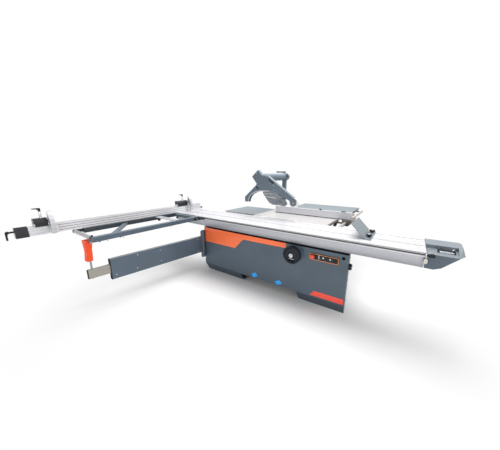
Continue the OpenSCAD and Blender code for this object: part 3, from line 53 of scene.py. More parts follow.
class Nodes:
    """A thin hand for wiring one node tree."""

    def __init__(self, tree):
        self.tree = tree

    def add(self, kind, **values):
        node = self.tree.nodes.new(kind)
        for key, value in values.items():
            setattr(node, key, value)
        return node

    def link(self, source, target):
        self.tree.links.new(source, target)

    def feed(self, socket, value):
        """Gives a socket a number, a colour or another node's output; None leaves it as it is."""
        if isinstance(value, (int, float)):
            socket.default_value = value
        elif isinstance(value, tuple):
            socket.default_value = (*value, 1.0)
        elif value is not None:
            self.link(value, socket)

    def math(self, operation, a, b=None, clamp=False):
        """A Math node; a and b are numbers or sockets."""
        node = self.add("ShaderNodeMath", operation=operation, use_clamp=clamp)
        for socket, value in zip(node.inputs, (a, b)):
            self.feed(socket, value)
        return node.outputs[0]

    def mix(self, factor, a, b):
        node = self.add("ShaderNodeMix", data_type="RGBA")
        for socket, value in zip((node.inputs[0], node.inputs[6], node.inputs[7]), (factor, a, b)):
            self.feed(socket, value)
        return node.outputs[2]

    def noise(self, vector, scale, detail, rough=0.5):
        node = self.add("ShaderNodeTexNoise")
        for key, value in (("Vector", vector), ("Scale", scale), ("Detail", detail), ("Roughness", rough)):
            self.feed(node.inputs[key], value)
        return node.outputs["Fac"]

    def ramp(self, value, low, high, to_low=0.0, to_high=1.0):
        node = self.add("ShaderNodeMapRange", clamp=True)
        for socket, number in zip(node.inputs, (value, low, high, to_low, to_high)):
            self.feed(socket, number)
        return node.outputs[0]


FLOAT, VECTOR = "NodeSocketFloat", "NodeSocketVector"


def group(name, inputs, outputs):
    """A new shader node group; returns it, its hand and its input and output nodes."""
    tree = bpy.data.node_groups.new(name, "ShaderNodeTree")
    for label, kind, value in inputs:
        socket = tree.interface.new_socket(name=label, in_out="INPUT", socket_type=kind)
        if value is not None:
            socket.default_value = value
    for label in outputs:
        tree.interface.new_socket(name=label, in_out="OUTPUT", socket_type=FLOAT)
    hand = Nodes(tree)
    return tree, hand, hand.add("NodeGroupInput"), hand.add("NodeGroupOutput")


def edge_wear_group():
    """Mask of the outer edges, where paint rubs thin, broken up by noise."""
    sockets = [("Vector", VECTOR, None), ("Width", FLOAT, 0.0015), ("Amount", FLOAT, 0.5)]
    tree, n, gin, gout = group("edge_wear", sockets, ["Mask"])
    bevel = n.add("ShaderNodeBevel", samples=4)
    n.link(gin.outputs["Width"], bevel.inputs["Radius"])
    geometry = n.add("ShaderNodeNewGeometry")
    dot = n.add("ShaderNodeVectorMath", operation="DOT_PRODUCT")
    n.link(bevel.outputs[0], dot.inputs[0])
    n.link(geometry.outputs["Normal"], dot.inputs[1])
    edge = n.ramp(n.math("SUBTRACT", 1.0, dot.outputs["Value"]), 0.02, 0.18)
    broken = n.ramp(n.noise(gin.outputs["Vector"], 38.0, 4.0, 0.62), 0.42, 0.62)
    mask = n.math("MULTIPLY", n.math("MULTIPLY", edge, broken), gin.outputs["Amount"], True)
    n.link(mask, gout.inputs["Mask"])
    return tree


def grain_group():
    """Fine bump height and slow colour drift of a sprayed or moulded skin."""
    sockets = [("Vector", VECTOR, None), ("Fine", FLOAT, 900.0), ("Slow", FLOAT, 3.0)]
    tree, n, gin, gout = group("skin_grain", sockets, ["Height", "Drift"])
    n.link(n.noise(gin.outputs["Vector"], gin.outputs["Fine"], 2.0), gout.inputs["Height"])
    slow = n.noise(gin.outputs["Vector"], gin.outputs["Slow"], 3.0)
    n.link(n.ramp(slow, 0.3, 0.7), gout.inputs["Drift"])
    return tree


def stroke_group():
    """Long thin strokes of grinding or extrusion; Stretch scales the three axes of the pattern."""
    sockets = [("Vector", VECTOR, None), ("Stretch", VECTOR, (1.0, 60.0, 60.0))]
    tree, n, gin, gout = group("strokes", sockets, ["Stroke", "Cloud"])
    scaled = n.add("ShaderNodeVectorMath", operation="MULTIPLY")
    n.link(gin.outputs["Vector"], scaled.inputs[0])
    n.link(gin.outputs["Stretch"], scaled.inputs[1])
    n.link(n.ramp(n.noise(scaled.outputs[0], 6.0, 5.0, 0.7), 0.25, 0.75), gout.inputs["Stroke"])
    n.link(n.ramp(n.noise(gin.outputs["Vector"], 4.0, 4.0, 0.6), 0.3, 0.7), gout.inputs["Cloud"])
    return tree


def dust_and_top_light_group():
    """Mask of faces turned upwards, where fine dust settles and where the light from above is painted in."""
    tree, n, gin, gout = group("top_dust_and_light", [("Vector", VECTOR, None), ("Amount", FLOAT, 0.3)], ["Mask"])
    geometry = n.add("ShaderNodeNewGeometry")
    split = n.add("ShaderNodeSeparateXYZ")
    n.link(geometry.outputs["Normal"], split.inputs[0])
    upward = n.ramp(split.outputs["Z"], 0.45, 0.97)
    patchy = n.ramp(n.noise(gin.outputs["Vector"], 7.0, 4.0, 0.6), 0.3, 0.7, 0.75, 1.0)
    mask = n.math("MULTIPLY", n.math("MULTIPLY", upward, patchy), gin.outputs["Amount"], True)
    n.link(mask, gout.inputs["Mask"])
    return tree


EDGE_WEAR = edge_wear_group()
DUST_AND_TOP_LIGHT = dust_and_top_light_group()
SKIN = grain_group()
STROKES = stroke_group()

# ---------------------------------------------------------------- finishes


def new_material(name):
    material = bpy.data.materials.new(name)
    material.use_nodes = True
    hand = Nodes(material.node_tree)
    shader = material.node_tree.nodes["Principled BSDF"]
    coords = hand.add("ShaderNodeTexCoord").outputs["Object"]
    return material, hand, shader, coords


def use_group(hand, tree, coords, **values):
    node = hand.add("ShaderNodeGroup", node_tree=tree)
    hand.link(coords, node.inputs["Vector"])
    for key, value in values.items():
        node.inputs[key].default_value = value
    return node


def wire(hand, shader, paint, drive, rough, height, distance):
    """Colour, roughness and bump of a shader; rough is its (low, high) over the drive's 0 to 1."""
    hand.link(paint, shader.inputs["Base Color"])
    hand.link(hand.ramp(drive, 0.0, 1.0, *rough), shader.inputs["Roughness"])
    node = hand.add("ShaderNodeBump")
    node.inputs["Distance"].default_value = distance
    hand.link(height, node.inputs["Height"])
    hand.link(node.outputs[0], shader.inputs["Normal"])


def shade(color, factor):
    return tuple(min(1.0, channel * factor) for channel in color)


def zoned(n, coords, tone, color, painted_shade_zones, painted_fade=None):
    """A tone with painted shade in parts of a piece.

    painted_shade_zones is a list of (windows, factor): inside all its windows (axis, low, high), in the
    frame's metres, the colour is taken times the factor. painted_fade is (axis, low, high, factor at low).
    """
    split = n.add("ShaderNodeSeparateXYZ")
    n.link(coords, split.inputs[0])
    if painted_fade:
        axis, low, high, dim = painted_fade
        tone = n.mix(n.ramp(split.outputs[axis], low, high), shade(color, dim), tone)
    for windows, dim in painted_shade_zones:
        inside = 1.0
        for axis, low, high in windows:
            for operation, limit in (("GREATER_THAN", low), ("LESS_THAN", high)):
                inside = n.math("MULTIPLY", inside, n.math(operation, split.outputs[axis], limit))
        tone = n.mix(inside, tone, shade(color, dim))
    return tone


# tone of faces turned upwards: dust, and painted light from above
DUST_AND_LIGHT_TONE = (0.30, 0.34, 0.36)


def sprayed(name, color, rough=0.42, drift=0.10, wear=0.5, worn=None, grain=0.00012, dust_and_top_light=0.0, painted_shade_zones=()):
    """Powder coat: orange-peel bump, slow drift of tone, dust and painted top light on faces turned upwards,
    edges rubbed lighter.
    """
    material, n, shader, coords = new_material(name)
    skin = use_group(n, SKIN, coords, Fine=420.0, Slow=2.6)
    edge = use_group(n, EDGE_WEAR, coords, Width=0.0022, Amount=wear)
    tone = n.mix(skin.outputs["Drift"], shade(color, 1 - drift), shade(color, 1 + drift))
    if dust_and_top_light:
        dust_and_light = use_group(n, DUST_AND_TOP_LIGHT, coords, Amount=dust_and_top_light)
        tone = n.mix(dust_and_light.outputs["Mask"], tone, DUST_AND_LIGHT_TONE)
    tone = zoned(n, coords, tone, color, painted_shade_zones)
    paint = n.mix(edge.outputs["Mask"], tone, worn or shade(color, 2.6))
    wire(n, shader, paint, skin.outputs["Drift"], (rough - 0.05, rough + 0.07), skin.outputs["Height"], grain)
    return material


def moulded(name, color, rough=0.5, grain=0.00015, wear=0.35, worn=None, shine=0.5):
    """Moulded plastic or rubber with a fine grain and a slightly shiny rubbed edge."""
    material, n, shader, coords = new_material(name)
    skin = use_group(n, SKIN, coords, Fine=1400.0, Slow=9.0)
    edge = use_group(n, EDGE_WEAR, coords, Width=0.0012, Amount=wear)
    tone = n.mix(skin.outputs["Drift"], shade(color, 0.88), shade(color, 1.12))
    paint = n.mix(edge.outputs["Mask"], tone, worn or shade(color, 2.2))
    shader.inputs["Specular IOR Level"].default_value = shine
    wire(n, shader, paint, edge.outputs["Mask"], (rough, rough - 0.15), skin.outputs["Height"], grain)
    return material


def drawn(name, color, stretch, metallic=0.6, rough=0.32, contrast=0.06, height=0.00006, cloud=0.05,
          painted_shades=(), painted_fade=None):
    """Extruded, ground or brushed metal with long strokes, with the painted shade in zones and fade that
    zoned takes.
    """
    material, n, shader, coords = new_material(name)
    marks = use_group(n, STROKES, coords, Stretch=stretch)
    edge = use_group(n, EDGE_WEAR, coords, Width=0.001, Amount=0.2)
    line = n.mix(marks.outputs["Stroke"], shade(color, 1 - contrast), shade(color, 1 + contrast))
    tone = n.mix(marks.outputs["Cloud"], shade(color, 1 - cloud), line)
    tone = zoned(n, coords, tone, color, painted_shades, painted_fade)
    paint = n.mix(edge.outputs["Mask"], tone, shade(color, 1.35))
    shader.inputs["Metallic"].default_value = metallic
    stroke = marks.outputs["Stroke"]
    wire(n, shader, paint, stroke, (rough - 0.05, rough + 0.08), stroke, height)
    return material


ALONG_X, ALONG_Y, ALONG_Z = (0.6, 40.0, 40.0), (40.0, 0.6, 40.0), (40.0, 40.0, 0.6)
EVEN = (30.0, 30.0, 30.0)

SLATE = (0.074, 0.104, 0.136)
FRONT_FACET_SHADE = ((("Z", -1.0, 0.1065),), 0.62)  # painted shade on the front sheet's lower facet, which looks at the floor
FRONT_RETURN_SHADE = ((("X", 0.9242, 1.0),), 0.5)  # painted shade on its folded edge at the operator's end
FAR_TUBE_SHADE = ((("X", -1.72, -1.650),), 0.34)  # painted shade on the outrigger's far tube, which lies in the fence's shadow

CARRIAGE_FACE = ("Y", -0.1885, -0.1855)
CARRIAGE_SHADE = [
    ((("Z", 0.84, 0.8788), ("Y", -0.1855, 0.3215)), 0.20),  # painted shade inside the T-slots
    ((("Z", 0.8505, 0.859), CARRIAGE_FACE), 0.34),  # painted shade in strips of the front face, the middle strip lighter
    ((("Z", 0.859, 0.869), CARRIAGE_FACE), 0.72),
    ((("Z", 0.869, 0.8775), CARRIAGE_FACE), 0.46),
]
FENCE_SLOT_SHADE = [((("X", -1.7004, -1.6962), ("Z", 0.888, 0.9755)), 0.52)]  # painted shade inside the T-slot of the near face
BEAM_SHADE_FADE = ("Z", 0.715, 0.80, 0.66)  # painted shade: the rounded front darkens downwards as it turns from the light
# painted shade: the rail darkens towards its underside
RAIL_SHADE_FADE = ("Z", 0.838, 0.857, 0.30)

MATERIALS = {
    "slate": sprayed("slate_powder_coat", SLATE, dust_and_top_light=0.22),
    # arm box: strong painted top light with dust, so that its top edge shows light
    "slate_arm": sprayed("slate_arm_coat", SLATE, dust_and_top_light=0.85),
    "slate_front": sprayed("slate_front_coat", SLATE, dust_and_top_light=0.22, painted_shade_zones=[FRONT_FACET_SHADE, FRONT_RETURN_SHADE]),
    "slate_frame": sprayed("slate_frame_coat", SLATE, dust_and_top_light=0.22, painted_shade_zones=[FAR_TUBE_SHADE]),
    # guard: pale rubbed edges, partly wear and partly a painted highlight on the hood's top edge, with strong
    # painted top light and dust
    "slate_pale": sprayed("slate_pale_coat", (0.118, 0.154, 0.191), wear=0.65, worn=(0.62, 0.64, 0.66),
                          dust_and_top_light=0.55),
    # dark paint, also put on pieces as painted shade
    "dark": sprayed("dark_coat_and_painted_shade", (0.040, 0.050, 0.062), wear=0.25),
    "table": sprayed("table_grey_coat", (0.162, 0.198, 0.222), rough=0.38),
    # end cap: its deck is lighter with dust and painted top light
    "cap": sprayed("cap_grey_coat", (0.072, 0.098, 0.128), rough=0.34, drift=0.16, grain=0.0003, dust_and_top_light=0.52),
    "seat": sprayed("rail_seat_coat", (0.13, 0.105, 0.09), rough=0.5),
    "band": sprayed("orange_band_coat", (1.0, 0.18, 0.055), 0.35, 0.04, 0.3, worn=(1.0, 0.4, 0.25)),
    "band_red": sprayed("red_band_coat", (0.93, 0.085, 0.05), 0.35, 0.04, 0.3, worn=(1.0, 0.4, 0.3)),
    "band_blue": sprayed("blue_plate_coat", (0.02, 0.38, 1.0), 0.35, 0.05, 0.3),
    "cast": drawn("ground_cast_iron", (0.55, 0.535, 0.53), ALONG_X, 0.35, 0.34, 0.05, 0.00003, cloud=0.08),
    "carriage": drawn("carriage_anodised", (0.72, 0.72, 0.745), ALONG_X, 0.2, 0.30, 0.05, cloud=0.03,
                      painted_shades=CARRIAGE_SHADE),
    "satin": drawn("satin_anodised", (0.80, 0.80, 0.82), ALONG_X, 0.25, 0.30, 0.035),
    "satin_y": drawn("satin_anodised_y", (0.56, 0.59, 0.62), ALONG_Y, 0.25, 0.30, 0.035),
    "fence": drawn("fence_anodised", (0.76, 0.76, 0.785), ALONG_Y, 0.25, 0.30, 0.04, painted_shades=FENCE_SLOT_SHADE),
    "sleeve": drawn("sleeve_anodised", (0.66, 0.67, 0.69), ALONG_Y, 0.35, 0.22, 0.05),
    "beam": drawn("beam_anodised", (0.47, 0.48, 0.515), ALONG_X, 0.40, 0.36, 0.05, painted_fade=BEAM_SHADE_FADE),
    "rip": drawn("rip_fence_anodised", (0.59, 0.59, 0.625), ALONG_X, 0.25, 0.34, 0.04),
    "fin": drawn("stop_blade_anodised", (0.54, 0.55, 0.57), ALONG_Y, 0.45, 0.30, 0.04),
    "rail": drawn("rail_steel", (0.60, 0.58, 0.57), ALONG_Y, 0.55, 0.28, 0.10, painted_fade=RAIL_SHADE_FADE),
    "lilac": drawn("lilac_anodised", (0.47, 0.465, 0.505), ALONG_X, 0.45, 0.34, 0.05),
    "bright_z": drawn("ground_steel_z", (0.34, 0.35, 0.37), ALONG_Z, 0.9, 0.25, 0.08),
    "blade": drawn("blade_steel", (0.60, 0.60, 0.61), (60.0, 1.0, 60.0), 0.95, 0.2, 0.10),
    "zinc": drawn("zinc_plated", (0.34, 0.325, 0.285), ALONG_Y, 0.3, 0.42, 0.08),
    "pale_grey": drawn("pale_turned_metal", (0.60, 0.61, 0.63), ALONG_Z, 0.4, 0.32, 0.04),
    "steel": drawn("zinc_steel_screws", (0.50, 0.51, 0.53), EVEN, 0.85, 0.3, 0.06),
    "brass": drawn("brass_wire", (0.62, 0.46, 0.20), EVEN, 0.9, 0.3, 0.06),
    "gloss": moulded("glossy_black_moulding", (0.020, 0.020, 0.024), 0.2, shine=0.42),
    "black": moulded("black_moulding", (0.014, 0.016, 0.019), shine=0.22),
    "wheel": moulded("handwheel_moulding", (0.013, 0.016, 0.022), 0.42, shine=0.24),
    # black for the insides of holes, slots and gaps: painted shade
    "hole": moulded("hole_painted_shade", (0.003, 0.003, 0.004), 0.8, wear=0.0, shine=0.04),
    "orange": moulded("orange_moulding", (1.0, 0.085, 0.016), 0.48, shine=0.3, worn=(1.0, 0.30, 0.15)),
    "red": moulded("red_button", (0.85, 0.075, 0.035), 0.3),
    "white": moulded("white_moulding", (0.82, 0.82, 0.81), 0.45, worn=(0.9, 0.9, 0.9)),
    "beige": moulded("beige_button", (0.62, 0.58, 0.50), 0.45),
    "stripe": moulded("panel_stripe_paint", (1.0, 0.30, 0.05), 0.35),
    "display": moulded("panel_display", (0.30, 0.32, 0.35), 0.3),
    # pale print, also used for painted highlights
    "pale_print": moulded("pale_print", (0.78, 0.79, 0.80), 0.5),
    "grey_print": moulded("grey_print", (0.22, 0.23, 0.25), 0.5),
}


def tinted_shield():
    """Clear tinted plastic of the blade shield."""
    material, n, shader, coords = new_material("tinted_shield")
    skin = use_group(n, SKIN, coords, Fine=60.0, Slow=7.0)
    drift = skin.outputs["Drift"]
    n.link(n.ramp(drift, 0.0, 1.0, 0.50, 0.64), shader.inputs["Alpha"])
    shader.inputs["IOR"].default_value = 1.49
    paint = n.mix(drift, (0.24, 0.27, 0.31), (0.33, 0.36, 0.40))
    wire(n, shader, paint, drift, (0.10, 0.2), skin.outputs["Height"], 0.0001)
    return material


def tick_strip(name, base, ink, pitch=0.010, share=0.28):
    """Pale tape with plain ticks along Y or X, without figures."""
    material, n, shader, coords = new_material(name)
    skin = use_group(n, SKIN, coords, Fine=900.0, Slow=6.0)
    split = n.add("ShaderNodeSeparateXYZ")
    n.link(coords, split.inputs[0])
    along = n.math("ADD", split.outputs[0], split.outputs[1])
    inked = n.math("LESS_THAN", n.math("FRACT", n.math("MULTIPLY", along, 1.0 / pitch)), share)
    tone = n.mix(skin.outputs["Drift"], shade(base, 0.94), shade(base, 1.04))
    paint = n.mix(inked, tone, ink)
    wire(n, shader, paint, skin.outputs["Drift"], (0.38, 0.48), skin.outputs["Height"], 0.00004)
    return material


MATERIALS["shield"] = tinted_shield()
MATERIALS["scale"] = tick_strip("scale_tape", (0.80, 0.80, 0.78), (0.08, 0.08, 0.09))
MATERIALS["red_scale"] = tick_strip("red_scale_tape", (0.85, 0.10, 0.07), (0.80, 0.62, 0.60))

DRESS = {
    "slate": ["cabinet_walls", "arm_bracket", "guard_lever"],
    "slate_arm": ["arm_box"],
    "slate_front": ["cabinet_front"],
    "slate_frame": ["outrigger_frame"],
    "slate_pale": ["guard_post", "guard_tube", "guard_hood"],
    # the supports are dark as painted shade in the gap under the beam
    "dark": ["base_frame", "supports", "trunnions", "tilt_frame", "carriage_clamp"],
    "seat": ["rail_brackets", "rip_carrier"],
    "sleeve": ["fence_extension"],
    "beam": ["beam"],
    "rip": ["rip_profile"],
    "gloss": ["extension_block", "stop_a_block", "stop_b_block"],
    "table": ["rear_table", "right_table", "shoe_base", "shoe_flap", "arbor_block"],
    "cap": ["end_cap"],
    "cast": ["main_table"],
    "carriage": ["carriage"],
    "satin": ["table_insert"],
    "satin_y": ["cross_rail"],
    "fence": ["fence_profile"],
    "fin": ["stop_a_blade", "stop_b_blade"],
    "lilac": ["end_roller"],
    "rail": ["rip_rail"],
    "bright_z": ["support_head"],
    "blade": ["main_blade", "scoring_blade"],
    "zinc": ["arm_tube"],
    "black": [
        "control_panel", "start_button", "off_button", "end_knob", "rip_knob", "cap_handle",
        "carriage_lock", "clamp_knob", "frame_knobs", "extension_lever", "stop_a_lever", "stop_b_lever",
        "shoe_knob_a", "shoe_knob_b",
    ],
    "wheel": ["handwheel"],
    "orange": ["post_cover"],
    "red": ["stop_button"],
    "white": ["guard_wheel"],
    "shield": ["guard_shield"],
}
for finish, nodes in DRESS.items():
    for node in nodes:
        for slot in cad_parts[node].material_slots:
            slot.material = MATERIALS[finish]

# ---------------------------------------------------------------- places on the CAD nodes, in mm

TO_FRAME = Matrix.Translation((-MID_X / 1000, -MID_Y / 1000, 0)) @ Matrix.Scale(0.001, 4)
X, Y, Z = Vector((1, 0, 0)), Vector((0, 1, 0)), Vector((0, 0, 1))
MACHINE = "machine"
TABLE_Z = 880.0


def met(node, starts, direction):
    """The first points of a CAD node met from each start, leaving out the starts that miss it."""
    points = []
    for start in starts:
        hit, place, _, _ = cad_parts[node].ray_cast(at(*start), direction)
        if hit:
            points.append(Vector((place.x * 1000 + MID_X, place.y * 1000 + MID_Y, place.z * 1000)))
    return points


def surface(node, start, direction):
    """The first point of a CAD node met from start; it has to be there."""
    points = met(node, [start], direction)
    if not points:
        raise ValueError(f"nothing of {node} in front of {start}")
    return points[0]


def front_y(node, x, z):
    return surface(node, (x, -2400, z), Y).y


def top_z(node, x, y):
    return surface(node, (x, y, 1700), -Z).z


def spans(node):
    """The x, y and z ranges of a CAD node's box."""
    return [
        (low * 1000 + shift, high * 1000 + shift)
        for low, high, shift in zip(*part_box(node), (MID_X, MID_Y, 0))
    ]


# ---------------------------------------------------------------- shapes, in mm of the workshop corner


def block(bm, x, y, z):
    """A box between two x, two y and two z values."""
    low, high = Vector((x[0], y[0], z[0])), Vector((x[1], y[1], z[1]))
    matrix = Matrix.Translation((low + high) / 2) @ Matrix.Diagonal((*(high - low), 1.0))
    bmesh.ops.create_cube(bm, size=1.0, matrix=matrix)


def rod(bm, start, end, radius, end_radius=None, sides=24):
    """A round bar or cone between two points."""
    start, end = Vector(start), Vector(end)
    turn = (end - start).to_track_quat("Z", "Y").to_matrix().to_4x4()
    matrix = Matrix.Translation((start + end) / 2) @ turn
    return bmesh.ops.create_cone(
        bm, cap_ends=True, segments=sides, radius1=radius,
        radius2=radius if end_radius is None else end_radius, depth=(end - start).length, matrix=matrix,
    )["verts"]


def thicken(bm, faces, shift):
    """Draws faces out by the vector shift."""
    grown = bmesh.ops.extrude_face_region(bm, geom=faces)["geom"]
    bmesh.ops.translate(bm, verts=[v for v in grown if isinstance(v, bmesh.types.BMVert)], vec=shift)


def slab(bm, points, shift):
    """A flat outline given as points, thickened by the vector shift."""
    thicken(bm, [bm.faces.new([bm.verts.new(Vector(p)) for p in points])], shift)


def screw(bm, place, axis, radius, height, sides=18):
    """A round head with a sunk hexagon socket, or a hexagon head where sides is 6."""
    place, axis = Vector(place), Vector(axis).normalized()
    verts = rod(bm, place - axis * 0.6, place + axis * height, radius, radius * 0.93, sides)
    if sides > 6:
        faces = {f for v in verts for f in v.link_faces if len(f.verts) == sides}
        top = max(faces, key=lambda f: f.calc_center_median().dot(axis))
        bmesh.ops.inset_individual(bm, faces=[top], thickness=radius * 0.42)
        bmesh.ops.translate(bm, verts=top.verts, vec=-axis * height * 0.7)


def coil(bm, start, end, radius, wire_radius, turns):
    """A helical spring from start to end."""
    start, end = Vector(start), Vector(end)
    axis = (end - start).normalized()
    side = axis.cross(Y).normalized()
    turn = axis.cross(side).to_track_quat("Z", "Y").to_matrix().to_4x4()
    matrix = Matrix.Translation(start + side * radius) @ turn
    ring = bmesh.ops.create_circle(bm, segments=6, radius=wire_radius, matrix=matrix)["verts"]
    edges = list({e for v in ring for e in v.link_edges})
    bmesh.ops.spin(
        bm, geom=ring + edges, cent=start, axis=axis, dvec=(end - start) / (turns * 12),
        angle=math.tau * turns, steps=turns * 12, use_duplicate=False,
    )
    bmesh.ops.holes_fill(bm, edges=[e for e in bm.edges if e.is_boundary], sides=6)


def soften(bm, width):
    """Rounds the edges that turn more than half a radian."""
    edges = [e for e in bm.edges if len(e.link_faces) == 2 and e.calc_face_angle(0) > 0.5]
    bmesh.ops.bevel(
        bm, geom=edges, offset=width, offset_type="OFFSET", segments=2, profile=0.5,
        affect="EDGES", material=-1, clamp_overlap=True,
    )


def piece(name, bm, finish, body, slot_name, bevel=0.0, smooth=True):
    """Closes a bmesh into a named object that rides on a CAD body."""
    bmesh.ops.remove_doubles(bm, verts=bm.verts, dist=0.001)
    bmesh.ops.recalc_face_normals(bm, faces=bm.faces)
    if bevel:
        soften(bm, bevel)
    bmesh.ops.transform(bm, matrix=TO_FRAME, verts=bm.verts)
    data = bpy.data.meshes.new(name)
    bm.to_mesh(data)
    bm.free()
    data.materials.append(MATERIALS[finish])
    if smooth:
        data.shade_smooth()
        data.set_sharp_from_angle(angle=math.radians(38))
    made = bpy.data.objects.new(name, data)
    bpy.context.scene.collection.objects.link(made)
    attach(made, body)


def shaped(name, shape, parts, *dress, **options):
    """One piece out of several calls of a shape; dress is its finish, body and material slot, and the slot is
    not used.
    """
    bm = bmesh.new()
    for part in parts:
        shape(bm, *part)
    piece(name, bm, *dress, **options)


def blocks(name, boxes, *dress, **options):
    """One piece made of boxes, each given by its x, y and z ranges."""
    shaped(name, block, boxes, *dress, **options)


def rods(name, bars, *dress, **options):
    """One piece made of round bars and cones, each given as rod takes it."""
    shaped(name, rod, bars, *dress, **options)


def slabs(name, outlines, shift, *dress, **options):
    """One piece made of flat outlines that are thickened alike."""
    shaped(name, slab, [(outline, shift) for outline in outlines], *dress, **options)


def screws(name, places, axis, radius, height, *dress, sides=18):
    """Heads of one kind at several places, as one piece."""
    shaped(name, screw, [(place, axis, radius, height, sides) for place in places], *dress)


def band(name, outline, width, shift, *dress):
    """A flat closed strip that follows an outline, width wide and as thick as the vector shift."""
    bm = bmesh.new()
    face = bm.faces.new([bm.verts.new(Vector(p)) for p in outline])
    bm.normal_update()
    bmesh.ops.inset_region(bm, faces=[face], thickness=width, use_even_offset=True, use_boundary=True)
    bmesh.ops.delete(bm, geom=[face], context="FACES")
    thicken(bm, list(bm.faces), shift)
    piece(name, bm, *dress)


def capsule(start, end, radius, side, steps=7):
    """Outline of a slot between two points; side is the direction across it in its plane."""
    start, end = Vector(start), Vector(end)
    along, points = (end - start).normalized(), []
    for centre, sign in ((end, 1), (start, -1)):
        for step in range(steps + 1):
            angle = math.pi * (0.5 - step / steps)
            points.append(centre + (along * math.cos(angle) + side * math.sin(angle)) * radius * sign)
    return points


def pill(x, z, radius, y):
    """Outline of a rectangle with round corners in the plane y."""
    right, left = x[1] - radius, x[0] + radius
    top, bottom = z[1] - radius, z[0] + radius
    corners, points = ((right, top), (left, top), (left, bottom), (right, bottom)), []
    for quarter, (corner_x, corner_z) in enumerate(corners):
        for step in range(7):
            angle = math.radians(90 * quarter + 15 * step)
            points.append((corner_x + radius * math.cos(angle), y, corner_z + radius * math.sin(angle)))
    return points


# ---------------------------------------------------------------- cabinet front

FACET_TOP, FACET_HEIGHT, FACET_LEAN = 108, 104, 40


def facet_y(z):
    """The front sheet's lower facet, which leans back towards the floor."""
    return FACET_LEAN * (FACET_TOP - z) / FACET_HEIGHT


def front_plate(name, outline, *dress, thick=1.2):
    """A bare plate on the cabinet's front sheet; outline is given as (x, z)."""
    slabs(name, [[(x, 0.1, z) for x, z in outline]], -Y * (thick + 0.1), *dress, bevel=0.3)


front_plate("front_band", [(-2091, 699), (-2091, 470), (-1494, 470), (-1352, 622), (-706, 630), (-706, 699)],
            "band", MACHINE, "orange_plastic")
front_plate("lower_band", [(-378, 124), (-329, 186), (-8, 186), (-8, 124)],
            "band_red", MACHINE, "red_plastic")
front_plate("corner_plate_left", [(-1206, 159), (-1140, 190), (-1107, 150), (-1180, 108)],
            "band_blue", MACHINE, "white_plastic")
front_plate("corner_plate_right", [(-845, 148), (-781, 186), (-737, 153), (-807, 112)],
            "band_blue", MACHINE, "white_plastic")
# black strip between the cabinet's top and the beam: painted shade of that gap
front_plate("top_gap_shade", [(-2060, 691), (-2060, 706.4), (-3, 706.4), (-3, 691)],
            "hole", MACHINE, "black_plastic", thick=2.4)
# black plate at the foot's inner end: painted shade of the hollow there
pocket = [(x, facet_y(z) - 0.8, z) for x, z in ((-1398, 99), (-1282, 95), (-1336, 40), (-1378, 35))]
slabs("foot_hollow_shade", [pocket], Vector((0, 1.5, 0.6)), "hole", MACHINE, "black_plastic")
# black disc in the tilt hole: painted shade of its inside
rods("side_hole_shade", [((-51, -3.9, 648), (-51, -4.6, 648), 16.5, None, 32)],
     "hole", MACHINE, "black_plastic")
blocks("tilt_pointer_slot", [(x, (-0.7, 0.1), (634, 678)) for x in ((-490, -486), (-499, -494))],
       "dark", MACHINE, "dark_paint")

# control panel: stripe round it, display, collar of the stop button, marks of the two push buttons
PANEL_X, PANEL_Z = (-409.5, -92.5), (569.5, 638.5)
PANEL_Y, PANEL_RIM_Y = -11.9, -13.9
STOP_X, STOP_Z, PUSH_Z = -369, 606.4, 612
band("panel_stripe", pill(PANEL_X, PANEL_Z, 14, PANEL_RIM_Y), 4.4, -Y * 0.7,
     "stripe", MACHINE, "orange_plastic")
blocks("panel_display", [((-309, -295), (-13.2, PANEL_Y), (585, 632))],
       "display", MACHINE, "white_plastic", bevel=0.4)
rods("stop_collar", [((STOP_X, PANEL_Y, STOP_Z), (STOP_X, -15.5, STOP_Z), 31, 29, 40)],
     "black", MACHINE, "black_plastic", bevel=0.6)
for name, x, body in (("start_mark", -253, "start_button"), ("off_mark", -179, "off_button")):
    y = front_y(body, x, PUSH_Z) + 0.1
    rods(name, [((x, y, PUSH_Z), (x, y - 0.5, PUSH_Z), 8.5, None, 28)], "pale_print", body, "white_plastic")
    band(name + "_frame", pill((x - 26, x + 26), (585, 630), 6, PANEL_Y), 1.2, -Y * 0.4,
         "grey_print", MACHINE, "white_plastic")
screws("panel_screws", [(x, PANEL_Y, z) for x in (-397, -104) for z in (590, 620)], -Y, 3.2, 1.6,
       "steel", MACHINE, "steel_bright")

# handwheel: hub cap, a pale line over the finger slot as painted highlight of its rim, and black as painted
# shade in the slot
WHEEL_X, WHEEL_Z = -600, 584
hub_y = front_y("handwheel", WHEEL_X, WHEEL_Z)
rods("handwheel_cap", [((WHEEL_X, hub_y + 0.1, WHEEL_Z), (WHEEL_X, hub_y - 1.6, WHEEL_Z), 25, 23.5, 40)],
     "pale_grey", "handwheel", "zinc_grey", bevel=0.5)
screws("handwheel_screw", [(WHEEL_X, hub_y - 1.5, WHEEL_Z)], -Y, 7.5, 3,
       "steel", "handwheel", "steel_bright")
web_y = front_y("handwheel", WHEEL_X, 540)
blocks("handwheel_rim_highlight", [((-630, -570), (web_y - 0.5, web_y + 0.1), (536, 541))],
       "pale_print", "handwheel", "white_plastic")
blocks("handwheel_slot_shade", [((-634, -566), (web_y - 0.4, web_y + 0.1), (512, 530))],
       "hole", "handwheel", "black_plastic")

# knob on the cabinet's operator end
KNOB_Y, KNOB_Z, KNOB_FACE = 15, 567, 31
rods("end_knob_cover", [((17.4, KNOB_Y, KNOB_Z), (KNOB_FACE, KNOB_Y, KNOB_Z), 34, 30, 40)],
     "black", "end_knob", "black_plastic", bevel=3)
screws("end_knob_screw", [(KNOB_FACE, KNOB_Y, KNOB_Z)], X, 8, 2.5, "steel", "end_knob", "steel_bright")

